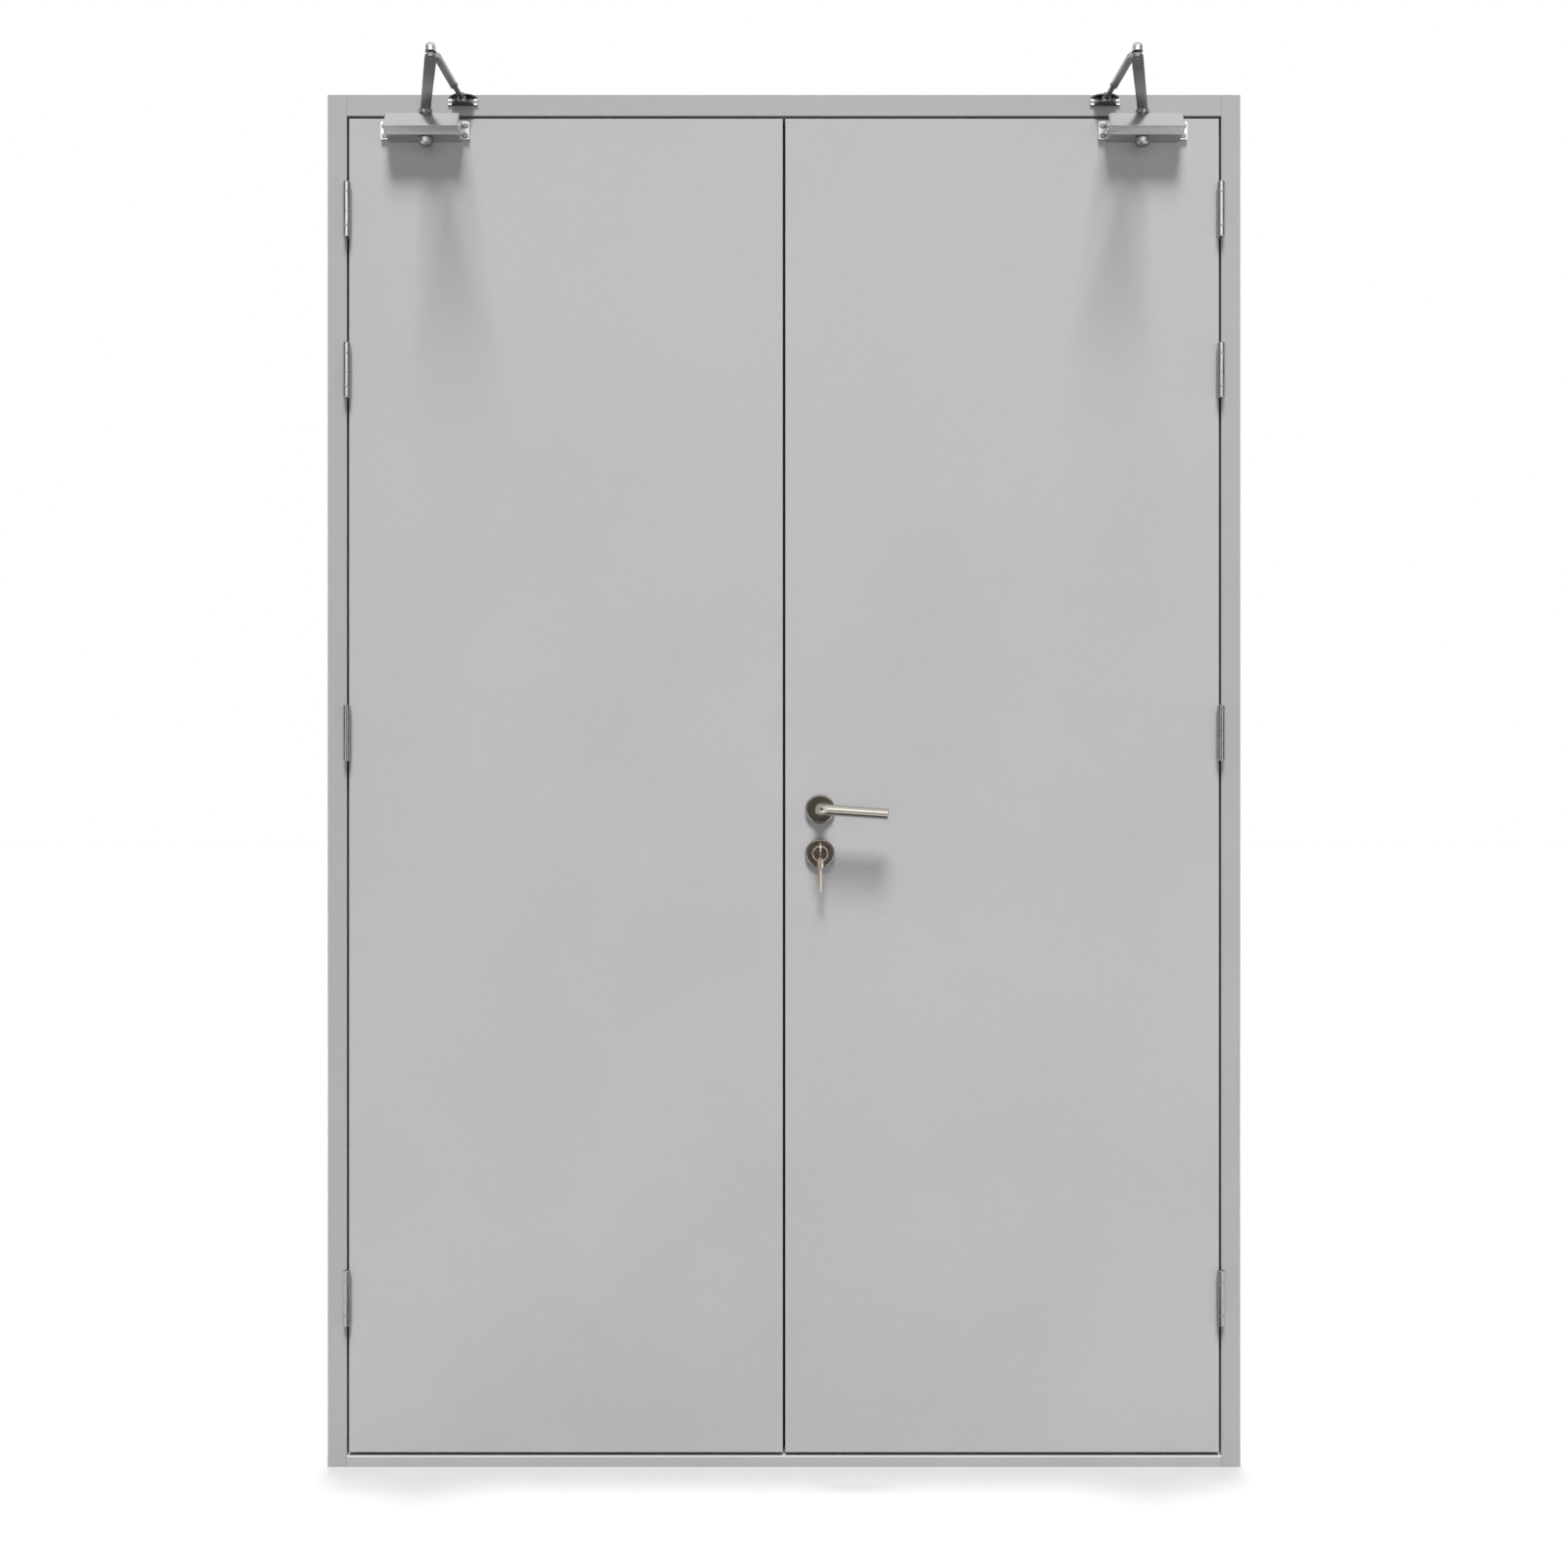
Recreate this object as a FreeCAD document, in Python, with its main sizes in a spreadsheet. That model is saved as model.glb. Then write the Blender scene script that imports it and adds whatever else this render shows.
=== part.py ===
import FreeCAD, Part
import os
import re
import Sketcher

# Double steel utility door: a pressed steel frame with a threshold, two flush
# leaves on lift-off hinges, an overhead closer on each leaf, and a lever lock
# with a key and its spare on a ring.
# Millimetres. +X to the right seen from the hinge side, +Y into the wall, +Z up.
# The origin is the middle of the threshold's underside.

doc = FreeCAD.newDocument("utility_door")

# Driving sizes, each a plain number with its own name.
DRIVING = [
    # frame
    ("frame_width", 1490, "overall width of the frame"),
    ("frame_height", 2240, "overall height of the frame"),
    ("frame_depth", 100, "depth of the frame through the wall"),
    ("jamb_face", 31, "width of a jamb seen from the front"),
    ("head_face", 34, "height of the head seen from the front"),
    ("frame_steel", 2, "sheet thickness of the frame"),
    ("stop_width", 20, "how far the stop stands into the opening"),
    ("return_lip", 14, "lip that turns back towards the wall"),
    ("anchor_radius", 5, "radius of a wall anchor hole"),
    ("anchor_first", 250, "height of the lowest wall anchor"),
    ("anchor_last", 190, "highest wall anchor below the frame's top"),
    ("threshold_height", 18, "height of the threshold's front"),
    ("threshold_wall", 3, "wall thickness of the threshold"),
    ("threshold_upstand", 15, "height of the stop behind the leaves"),
    ("threshold_chamfer", 2, "chamfer on the threshold's front edge"),
    ("seal_thickness", 3.7, "thickness of the frame seal"),
    ("seal_width", 10, "width of the frame seal"),
    ("seal_clearance", 0.3, "free gap between seal and leaf"),
    # leaves
    ("leaf_thickness", 50, "thickness of a leaf"),
    ("skin_steel", 1.5, "sheet thickness of the leaf skins"),
    ("skin_radius", 2, "bend radius of the skin at its front edges"),
    ("hinge_gap", 3.5, "gap between leaf and jamb"),
    ("head_gap", 4.5, "gap between leaf and head"),
    ("sill_gap", 5, "gap between leaf and threshold"),
    ("meeting_gap", 3.5, "gap between the two leaves at the front"),
    ("meeting_bevel", 3, "how much narrower a leaf is at its back"),
    ("meeting_seal_depth", 12, "where the meeting seal starts behind the face"),
    ("meeting_seal_width", 6, "width of the meeting seal"),
    ("meeting_seal_reach", 0.8, "how far the meeting seal passes the middle"),
    ("meeting_seal_short", 14, "how far the meeting seal ends from the edges"),
    # hinges
    ("lowest_hinge", 278, "height of the lowest hinge"),
    ("lower_hinge", 1198, "height of the second hinge"),
    ("upper_hinge_drop", 451, "third hinge below the frame's top"),
    ("highest_hinge_drop", 189, "highest hinge below the frame's top"),
    ("hinge_length", 91, "length of a hinge barrel"),
    ("hinge_proud", 8, "distance of the hinge axis in front of the face"),
    ("frame_knuckle", 41, "length of the lower knuckle, on the frame"),
    ("knuckle_gap", 0.4, "gap between the two knuckles"),
    ("barrel_radius", 6, "radius of the hinge barrel"),
    ("barrel_cap", 1.5, "chamfer at the barrel's ends"),
    ("barrel_groove", 0.8, "depth of the ring groove in a knuckle"),
    ("groove_inset", 18, "distance of the ring groove from the end"),
    ("pin_radius", 3, "radius of the hinge pin"),
    ("pin_length", 40, "length of the pin above the lower knuckle"),
    ("pin_clearance", 0.05, "radial clearance of the pin"),
    ("wing_thickness", 1.5, "thickness of a hinge plate"),
    ("wing_depth", 30, "depth of a hinge plate"),
    ("wing_play", 0.5, "gap between the two plates of a hinge"),
    # closers
    ("closer_inset", 160, "closer's middle from the frame's side"),
    ("closer_drop", 78, "closer's underside below the frame's top"),
    ("closer_length", 120.4, "length of the closer housing"),
    ("closer_height", 38, "height of the closer housing"),
    ("closer_proud", 42, "how far the housing's ridge stands out"),
    ("closer_front", 38, "how far the housing's lower edge stands out"),
    ("closer_top", 28, "how far the housing's top edge stands out"),
    ("closer_ridge", 13, "height of the ridge above the underside"),
    ("closer_shoulder", 25, "height of the shoulder above the underside"),
    ("closer_rounding", 3, "rounding of the housing's ends"),
    ("end_plug_radius", 12.5, "radius of the plug in each end of the housing"),
    ("end_plug_proud", 2, "how far an end plug stands out"),
    ("end_plug_forward", 20, "middle of an end plug in front of the face"),
    ("end_plug_height", 18, "middle of an end plug above the underside"),
    ("flange_width", 12, "width of a fixing flange"),
    ("flange_height", 30, "height of a fixing flange"),
    ("flange_thickness", 6, "thickness of a fixing flange"),
    ("flange_lift", 3.2, "flange underside above the housing's underside"),
    ("flange_rounding", 2.5, "rounding of a flange's outer corners"),
    ("pinion_offset", 4.2, "pinion axis from the housing's middle"),
    ("pinion_proud", 22, "pinion axis in front of the face"),
    ("pinion_radius", 7, "radius of the pinion shaft"),
    ("pinion_clearance", 0.1, "radial clearance of the pinion shaft"),
    ("pinion_end_gap", 0.4, "end clearance of the pinion's collars"),
    ("collar_radius", 11, "radius of the pinion's collar"),
    ("collar_height", 6.6, "height of the collar above the housing"),
    ("cap_radius", 11.7, "radius of the pinion cap"),
    ("cap_depth", 13.6, "depth of the pinion cap under the housing"),
    ("cap_edge", 3, "chamfer of the pinion cap"),
    ("cap_crown", 1.2, "crown of the pinion cap"),
    ("cap_foot", 1.5, "groove between the pinion cap and the housing"),
    ("elbow_along", 48, "elbow from the pinion, towards the middle"),
    ("elbow_forward", 200, "elbow in front of the pinion"),
    ("arm_thickness", 4, "thickness of the main arm"),
    ("arm_small_radius", 8, "radius of the main arm's pinion end"),
    ("arm_large_radius", 9, "radius of the main arm's elbow end"),
    ("arm_rise", 2.4, "how much the main arm steps up"),
    ("arm_bend_start", 14, "where the main arm's step starts"),
    ("arm_bend_length", 14, "length of the main arm's step"),
    ("boss_radius", 8.5, "radius of the cone on the main arm at the elbow"),
    ("boss_tip", 3.5, "radius of that cone's top"),
    ("boss_height", 5, "height of that cone"),
    ("elbow_gap", 0.4, "clearance between the arms at the elbow"),
    ("elbow_radius", 8.2, "radius of the forearm's knuckle"),
    ("elbow_taper", 0.8, "how much the elbow cap narrows"),
    ("elbow_cap", 6, "height of the elbow cap above the forearm"),
    ("elbow_edge", 1.6, "chamfer of the elbow cap"),
    ("forearm_width", 10.5, "width of the forearm"),
    ("forearm_height", 7, "height of the forearm"),
    ("forearm_bend_start", 16, "where the forearm's step starts, from the elbow"),
    ("forearm_bend_length", 26, "length of the forearm's step"),
    ("rod_radius", 4.2, "radius of the adjusting rod"),
    ("rod_lift", 0.2, "adjusting rod above the underside of its eye"),
    ("rod_length", 50, "distance from the shoe pivot to the forearm's end"),
    ("eye_radius", 7.5, "radius of the adjusting rod's eye"),
    ("shoe_offset", 61, "shoe pivot from the closer's middle, towards the middle"),
    ("shoe_proud", 12, "shoe pivot in front of the face"),
    ("shoe_length", 48.5, "length of the shoe's plate"),
    ("shoe_ear", 10, "height of the plate's ears"),
    ("shoe_shoulder", 22, "half the width of the plate above its ears"),
    ("shoe_plate", 3, "thickness of the shoe's plate and shelf"),
    ("shoe_drop", 18, "shoe's underside below the frame's top"),
    ("shelf_radius", 18, "radius of the shelf's round front"),
    ("shelf_reach", 21, "how far the shelf stands out"),
    ("lid_radius", 24, "radius of the round front of the lid over the eye"),
    ("lid_reach", 17, "how far that lid stands out"),
    ("lid_lift", 12.4, "underside of the lid above the shelf's underside"),
    ("lid_thickness", 2, "thickness of the lid"),
    ("shoe_pin_radius", 3, "radius of the shoe's pin"),
    ("shoe_pin_clearance", 0.1, "radial clearance of the shoe's pin"),
    ("shoe_pin_head", 5, "radius of the shoe pin's head"),
    ("shoe_pin_head_height", 1.6, "height of the shoe pin's head"),
    # lock
    ("lever_backset", 57, "lever axis from the meeting edge"),
    ("lever_height", 1074, "height of the lever axis"),
    ("lock_spacing", 72, "lever axis to the middle of the key rosette"),
    ("rosette_radius", 24, "radius of a rosette"),
    ("rosette_thickness", 8, "thickness of a rosette"),
    ("rosette_edge", 2, "chamfer of a rosette"),
    ("neck_clearance", 0.5, "radial clearance of the lever's neck"),
    ("lever_radius", 8.75, "radius of the lever tube"),
    ("lever_reach", 52, "middle of the grip in front of the face"),
    ("lever_bend", 14, "bend radius of the lever"),
    ("lever_length", 109, "length of the lever from its axis"),
    ("lever_droop", 4, "angle by which the grip hangs at rest, degrees"),
    ("lever_rounding", 2, "rounding of the lever's end"),
    ("neck_start", 1, "where the lever's neck starts in front of the face"),
    ("spindle_width", 8, "width across the square spindle"),
    ("spindle_hole", 10, "radius of the hole for the spindle"),
    ("cylinder_radius", 8.5, "radius of the lock cylinder's round part"),
    ("cylinder_height", 33, "overall height of the lock cylinder"),
    ("cylinder_tab", 10, "width of the lock cylinder's lower part"),
    ("cylinder_proud", 2, "how far the cylinder stands out of its rosette"),
    ("cylinder_clearance", 0.3, "clearance round the lock cylinder"),
    ("plug_radius", 6.5, "radius of the cylinder's plug"),
    ("plug_clearance", 0.1, "radial clearance of the plug"),
    ("plug_length", 32, "length of the plug"),
    ("keyway_width", 2.6, "width of the keyway"),
    ("keyway_height", 9, "height of the keyway"),
    ("keyway_depth", 28, "depth of the keyway"),
    ("key_thickness", 2.2, "thickness of a key"),
    ("blade_height", 8.2, "height of a key's blade"),
    ("blade_inside", 26, "length of the blade inside the plug"),
    ("blade_outside", 1, "length of the blade's shoulder outside the plug"),
    ("neck_length", 15, "length of a key from the plug to its bow"),
    ("neck_height", 5, "height of the key's neck behind its bow"),
    ("cut_step", 4.4, "distance between the cuts in a key's blade"),
    ("cut_depth", 0.8, "depth of the shallowest cut in a key's blade"),
    ("bow_radius", 11, "radius of a key's bow"),
    ("bow_hole", 4, "radius of the hole in a key's bow"),
    ("bow_hole_offset", 3, "hole from the middle of the bow"),
    ("ring_radius", 12, "radius of the key ring"),
    ("ring_wire", 1, "radius of the ring's wire"),
    ("ring_play", 0.3, "clearance of the ring on the key's neck"),
    ("ring_back", 2.2, "middle of the ring's wire behind the key's bow"),
    ("spare_play", 1, "clearance of the spare key on the ring"),
    ("spare_blade", 38, "length of the spare key's blade"),
    ("spare_turn", 20, "turn of the spare key about the vertical, degrees"),
    ("faceplate_width", 20, "width of a plate in a leaf's edge"),
    ("faceplate_thickness", 3, "thickness of a plate in a leaf's edge"),
    ("faceplate_length", 235, "length of the lock's faceplate"),
    ("strike_length", 170, "length of the strike plate"),
    ("flush_bolt_length", 180, "length of a flush bolt's plate"),
    ("flush_bolt_inset", 40, "flush bolt plate from the leaf's end"),
]

# Sizes worked out from the driving ones.
WORKED = [
    ("face", "-frame_depth / 2"),
    ("half_opening", "frame_width / 2 - jamb_face"),
    ("rebate", "leaf_thickness + seal_clearance + seal_thickness"),
    ("head_stop", "stop_width * head_face / jamb_face"),
    ("head_under", "frame_height - head_face"),
    ("anchor_step", "(frame_height - anchor_first - anchor_last) / 3"),
    ("notch_back", "2 * frame_depth"),
    ("upper_hinge", "frame_height - upper_hinge_drop"),
    ("highest_hinge", "frame_height - highest_hinge_drop"),
    ("closer_base", "frame_height - closer_drop"),
    ("shoe_base", "frame_height - shoe_drop"),
    ("mitre_run", "jamb_face + stop_width"),
    ("mitre_drop", "head_face + head_stop"),
    ("leaf_outer", "half_opening - hinge_gap"),
    ("leaf_inner", "meeting_gap / 2"),
    ("leaf_low", "threshold_height + sill_gap"),
    ("leaf_high", "head_under - head_gap"),
    ("leaf_tall", "leaf_high - leaf_low"),
    ("skin_low", "leaf_low + skin_steel"),
    ("skin_tall", "leaf_tall - 2 * skin_steel"),
    ("bevel_rate", "meeting_bevel / leaf_thickness"),
    ("inner_front", "leaf_inner + skin_steel + bevel_rate * skin_steel"),
    ("inner_back", "leaf_inner + skin_steel + bevel_rate * (leaf_thickness - skin_steel)"),
    ("inner_edge", "leaf_inner + skin_steel + meeting_bevel"),
    ("hinge_axis", "half_opening - wing_thickness - wing_play"),
    ("wing_outer", "wing_thickness + wing_play"),
    ("leaf_plate", "hinge_gap - wing_outer"),
    ("wing_root", "(pin_radius + barrel_radius) / 2"),
    ("half_barrel", "hinge_length / 2"),
    ("split", "frame_knuckle - hinge_length / 2"),
    ("closer_centre", "frame_width / 2 - closer_inset"),
    ("pinion_axis", "closer_centre - pinion_offset"),
    ("closer_roof", "closer_base + closer_height"),
    ("arm_base", "closer_roof + pinion_end_gap + collar_height"),
    ("arm_length", "sqrt(elbow_along * elbow_along + elbow_forward * elbow_forward)"),
    ("arm_angle", "atan2(-elbow_forward; elbow_along)"),
    ("boss_base", "arm_base + arm_rise + arm_thickness"),
    ("elbow_base", "boss_base + boss_height + elbow_gap"),
    ("shoe_axis", "closer_centre - shoe_offset"),
    ("shelf_top", "shoe_base + shoe_plate"),
    ("forearm_base", "shelf_top + elbow_gap"),
    ("elbow_x", "pinion_axis - elbow_along"),
    ("elbow_y", "pinion_proud + elbow_forward"),
    ("forearm_run", "shoe_axis - elbow_x"),
    ("forearm_out", "elbow_y - shoe_proud"),
    ("forearm_length", "sqrt(forearm_run * forearm_run + forearm_out * forearm_out)"),
    ("forearm_angle", "atan2(-forearm_out; forearm_run)"),
    ("forearm_rise", "forearm_base - elbow_base"),
    ("arm_margin", "3 * arm_large_radius"),
    ("rod_start", "shoe_pin_head + elbow_gap"),
    ("lever_axis", "leaf_inner + lever_backset"),
    ("rosette_low", "lever_height - lock_spacing"),
    ("plug_axis", "rosette_low + cylinder_height / 2 - cylinder_radius"),
    ("cylinder_front", "rosette_thickness + cylinder_proud"),
    ("cylinder_length", "leaf_thickness + 2 * cylinder_front"),
    ("tab_drop", "cylinder_height - cylinder_radius - cylinder_tab / 2"),
    ("shoulder_out", "cylinder_front + blade_outside"),
    ("bow_out", "cylinder_front + neck_length + bow_radius"),
    ("ring_out", "cylinder_front + neck_length - ring_back"),
    ("neck_sweep", "sqrt(neck_height * neck_height + key_thickness * key_thickness) / 2"),
    ("ring_drop", "ring_radius - ring_wire - ring_play - neck_sweep"),
    ("spare_hole_drop", "ring_drop + ring_radius + bow_hole - ring_wire - spare_play"),
    ("edge_depth", "leaf_inner + meeting_bevel / 2"),
    ("plate_near", "leaf_thickness / 2 - faceplate_width / 2"),
    ("faceplate_low", "lever_height - lock_spacing / 2 - faceplate_length / 2"),
    ("strike_low", "lever_height - lock_spacing / 2 - strike_length / 2"),
]

DRIVING_NAMES = {row[0] for row in DRIVING}
WORKED_NAMES = {row[0] for row in WORKED}


def formula(text, inside_worked=False):
    """Give each named size in a formula the sheet that holds it."""
    def full(found):
        word = found.group()
        if word in DRIVING_NAMES:
            return "Sizes." + word
        if word in WORKED_NAMES and not inside_worked:
            return "Worked." + word
        return word
    return re.sub(r"[a-z][a-z0-9_]*", full, text)


sizes = doc.addObject("Spreadsheet::Sheet", "Sizes")
for index, (alias, value, meaning) in enumerate(DRIVING, start=1):
    sizes.set("A%d" % index, meaning)
    sizes.set("B%d" % index, str(value))
    sizes.setAlias("B%d" % index, alias)

worked = doc.addObject("Spreadsheet::Sheet", "Worked")
for index, (alias, rule) in enumerate(WORKED, start=1):
    worked.set("A%d" % index, "=" + formula(rule, inside_worked=True))
    worked.setAlias("A%d" % index, alias)
doc.recompute()


def number(text):
    """The present value of a formula."""
    return float(sizes.evalExpression(formula(text)))


def bind(target, **rules):
    """Bind properties of an object to formulas."""
    for name, rule in rules.items():
        target.setExpression(name.replace("__", "."), formula(rule))
    return target


def place(target, across="0", back="0", up="0"):
    """Put an object at a place whose depth counts from the frame's face."""
    return bind(target, Placement__Base__x=across, Placement__Base__y="face + " + back,
                Placement__Base__z=up)


def block(name, size, corner):
    """A block from its three sizes and its lowest corner."""
    item = doc.addObject("Part::Box", name)
    bind(item, Length=size[0], Width=size[1], Height=size[2])
    return place(item, *corner)


ALONG_Y = FreeCAD.Rotation(FreeCAD.Vector(1, 0, 0), -90)
UPRIGHT = FreeCAD.Rotation()


def rod(name, radius, length, start, turned=UPRIGHT):
    """A round bar from its radius, its length and the middle of its first end."""
    item = doc.addObject("Part::Cylinder", name)
    item.Placement.Rotation = turned
    bind(item, Radius=radius, Height=length)
    return place(item, *start)


def join(label, *items):
    item = doc.addObject("Part::MultiFuse", label)
    item.Shapes = list(items)
    return item


def cut(label, base, *tools):
    item = doc.addObject("Part::Cut", label)
    item.Base = base
    item.Tool = tools[0] if len(tools) == 1 else join(label + "_tools", *tools)
    return item


def common(label, first, second):
    item = doc.addObject("Part::MultiCommon", label)
    item.Shapes = [first, second]
    return item


def mirrored(label, source):
    """The same piece on the other side of the door's middle."""
    item = doc.addObject("Part::Mirroring", label)
    item.Source = source
    item.Normal = FreeCAD.Vector(1, 0, 0)
    return item


def behind(label, source):
    """The same piece on the other face of the leaf."""
    item = doc.addObject("Part::Mirroring", label)
    item.Source = source
    item.Normal = FreeCAD.Vector(0, 1, 0)
    return bind(item, Base__y="face + leaf_thickness / 2")


def group(label, *items):
    item = doc.addObject("Part::Compound", label)
    item.Links = list(items)
    return item


def new_body(label, across="0", back="0", up="0"):
    return place(doc.addObject("PartDesign::Body", label), across, back, up)


def sketch_on(body, role, lift="0"):
    """A sketch on one of the body's own planes, moved along its normal."""
    plane = next(item for item in body.Origin.OriginFeatures if item.Role == role)
    sketch = body.newObject("Sketcher::SketchObject", body.Name + "_sketch")
    sketch.AttachmentSupport = [(plane, "")]
    sketch.MapMode = "FlatFace"
    return bind(sketch, AttachmentOffset__Base__z=lift)


def fix_point(sketch, line, end, across, up):
    """Hold a point of a sketch at a place given by two formulas."""
    for kind, rule in (("DistanceX", across), ("DistanceY", up)):
        held = sketch.addConstraint(Sketcher.Constraint(kind, -1, 1, line, end, number(rule)))
        sketch.setExpression("Constraints[%d]" % held, formula(rule))


def outline(sketch, corners):
    """A closed outline of straight lines through the corners."""
    points = [FreeCAD.Vector(number(across), number(up), 0) for across, up in corners]
    first = sketch.GeometryCount
    count = len(points)
    for index in range(count):
        sketch.addGeometry(Part.LineSegment(points[index], points[(index + 1) % count]), False)
    for index in range(count):
        following = first + (index + 1) % count
        sketch.addConstraint(Sketcher.Constraint("Coincident", first + index, 2, following, 1))
    for index, (across, up) in enumerate(corners):
        fix_point(sketch, first + index, 1, across, up)
    return sketch


def circle(sketch, radius, across="0", up="0"):
    middle = FreeCAD.Vector(number(across), number(up), 0)
    line = sketch.addGeometry(Part.Circle(middle, FreeCAD.Vector(0, 0, 1), number(radius)), False)
    held = sketch.addConstraint(Sketcher.Constraint("Radius", line, number(radius)))
    sketch.setExpression("Constraints[%d]" % held, formula(radius))
    fix_point(sketch, line, 3, across, up)
    return sketch


def pad(body, sketch, length, both_ways=False, reverse=False):
    feature = body.newObject("PartDesign::Pad", body.Name + "_pad")
    feature.Profile = sketch
    feature.SideType = "Symmetric" if both_ways else "One side"
    feature.Reversed = reverse
    return bind(feature, Length=length)


def pocket_through(body, sketch):
    """Cut a sketch through the whole body, both ways."""
    feature = body.newObject("PartDesign::Pocket", body.Name + "_pocket")
    feature.Profile = sketch
    feature.SideType = "Symmetric"
    feature.Type = "ThroughAll"
    return feature


def pocket(body, sketch, length, reverse=False):
    feature = body.newObject("PartDesign::Pocket", body.Name + "_pocket")
    feature.Profile = sketch
    feature.Reversed = reverse
    return bind(feature, Length=length)


def turned(body, sketch):
    """A full turn of a sketch about the body's upright axis."""
    feature = body.newObject("PartDesign::Revolution", body.Name + "_turning")
    feature.Profile = sketch
    axis = next(item for item in body.Origin.OriginFeatures if item.Role == "Z_Axis")
    feature.ReferenceAxis = (axis, [""])
    feature.Angle = 360
    return feature


def chosen_edges(feature, test):
    """The names of a feature's edges whose middle passes a test."""
    doc.recompute()
    names = []
    for index, edge in enumerate(feature.Shape.Edges, start=1):
        if test(edge.CenterOfMass):
            names.append("Edge%d" % index)
    return names


def round_edges(body, feature, radius, test, kind="Fillet"):
    """Round or chamfer the edges of a feature whose middle passes a test."""
    finish = body.newObject("PartDesign::" + kind, body.Name + "_" + kind.lower())
    finish.Base = (feature, chosen_edges(feature, test))
    return bind(finish, **{"Radius" if kind == "Fillet" else "Size": radius})


CLOSE = 0.01
nodes = []


def keep(item, label=None):
    """Mark an object as a sub-part of the door."""
    if label:
        item.Label = label
    nodes.append(item)
    return item


def keep_pair(source, name):
    """Keep a left piece and its mirror image on the right."""
    keep(source, "left_" + name)
    return keep(mirrored("right_" + name, source))


# Frame: two jambs and a head of folded sheet, mitred at the top corners.

def folded_section(sketch, outer, step, inner, inwards=" + "):
    """Section of the folded frame: lip, face, rebate, stop, back and lip.

    outer, step and inner are places across the section, from the outside edge
    to the rebate's wall and on to the stop's inner face. inwards is the sign
    of the way from the outside edge to the opening; for the head it is " - ",
    and depth comes first there.
    """
    path = [
        (outer, "return_lip"), (outer, "0"), (step, "0"), (step, "rebate"),
        (inner, "rebate"), (inner, "frame_depth"), (outer, "frame_depth"),
        (outer, "frame_depth - return_lip"),
    ]
    steel = "frame_steel"
    outwards = " - " if inwards == " + " else " + "
    path += [
        (outer + inwards + steel, "frame_depth - return_lip"),
        (outer + inwards + steel, "frame_depth - " + steel),
        (inner + outwards + steel, "frame_depth - " + steel),
        (inner + outwards + steel, "rebate + " + steel),
        (step + outwards + steel, "rebate + " + steel),
        (step + outwards + steel, steel),
        (outer + inwards + steel, steel),
        (outer + inwards + steel, "return_lip"),
    ]
    if inwards == " - ":
        path = [(depth, across) for across, depth in path]
    return outline(sketch, path)


def make_jamb():
    jamb = new_body("left_jamb")
    section = sketch_on(jamb, "XY_Plane")
    folded_section(section, "-frame_width / 2", "-half_opening", "-half_opening + stop_width")
    pad(jamb, section, "frame_height")
    mitre = sketch_on(jamb, "XZ_Plane")
    outline(mitre, [
        ("-frame_width / 2", "frame_height"),
        ("-frame_width / 2 + mitre_run", "frame_height - mitre_drop"),
        ("-frame_width / 2 + mitre_run", "frame_height"),
    ])
    pocket_through(jamb, mitre)
    holes = sketch_on(jamb, "YZ_Plane")
    for height in ("anchor_first", "anchor_first + anchor_step",
                   "frame_height - anchor_last - anchor_step", "frame_height - anchor_last"):
        circle(holes, "anchor_radius", "(rebate + frame_depth) / 2", height)
    pocket_through(jamb, holes)
    return jamb


def make_head():
    head = new_body("frame_head")
    section = sketch_on(head, "YZ_Plane")
    folded_section(section, "frame_height", "head_under", "head_under - head_stop", " - ")
    pad(head, section, "frame_width", both_ways=True)
    mitres = sketch_on(head, "XZ_Plane")
    for side in ("-", ""):
        outer = "%s(frame_width / 2)" % side
        inner = "%s(frame_width / 2 - mitre_run)" % side
        outline(mitres, [
            (outer, "frame_height"),
            (inner, "frame_height - mitre_drop"),
            (outer, "frame_height - mitre_drop"),
        ])
    pocket_through(head, mitres)
    return head


def make_threshold():
    """A hollow sill between the jambs with an upstand behind the leaves."""
    sill = new_body("threshold")
    section = sketch_on(sill, "YZ_Plane")
    top = "threshold_height"
    high = "threshold_height + threshold_upstand"
    wall = "threshold_wall"
    outline(section, [
        ("0", "0"), ("0", top + " - threshold_chamfer"), ("threshold_chamfer", top),
        ("rebate", top), ("rebate", high), ("frame_depth", high), ("frame_depth", "0"),
    ])
    outline(section, [
        (wall, wall), (wall, top + " - " + wall), ("rebate + " + wall, top + " - " + wall),
        ("rebate + " + wall, high + " - " + wall), ("frame_depth - " + wall, high + " - " + wall),
        ("frame_depth - " + wall, wall),
    ])
    pad(sill, section, "2 * half_opening", both_ways=True)
    notches = sketch_on(sill, "XY_Plane")
    for side in ("-", ""):
        outer = "%s(half_opening + stop_width)" % side
        inner = "%s(half_opening - stop_width)" % side
        outline(notches, [
            (outer, "rebate"), (inner, "rebate"), (inner, "notch_back"), (outer, "notch_back"),
        ])
    pocket_through(sill, notches)
    return sill


def make_seal():
    """A rubber ring on the stop, all round the opening."""
    seal = new_body("frame_seal", back="rebate")
    sketch = sketch_on(seal, "XZ_Plane")
    wide = "(half_opening - seal_clearance)"
    tall = "head_under - seal_clearance"
    low = "threshold_height + seal_clearance"
    outline(sketch, [("-" + wide, low), (wide, low), (wide, tall), ("-" + wide, tall)])
    wide = "(half_opening - seal_clearance - seal_width)"
    tall = "head_under - seal_clearance - seal_width"
    low = "threshold_height + seal_clearance + seal_width"
    outline(sketch, [("-" + wide, low), (wide, low), (wide, tall), ("-" + wide, tall)])
    pad(seal, sketch, "seal_thickness")
    return seal


jamb = make_jamb()
keep_pair(jamb, "jamb")
keep(make_head())
keep(make_threshold())
keep(make_seal())


# Leaves: a front pan with folded edges, a back sheet inside it, a filling.

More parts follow.
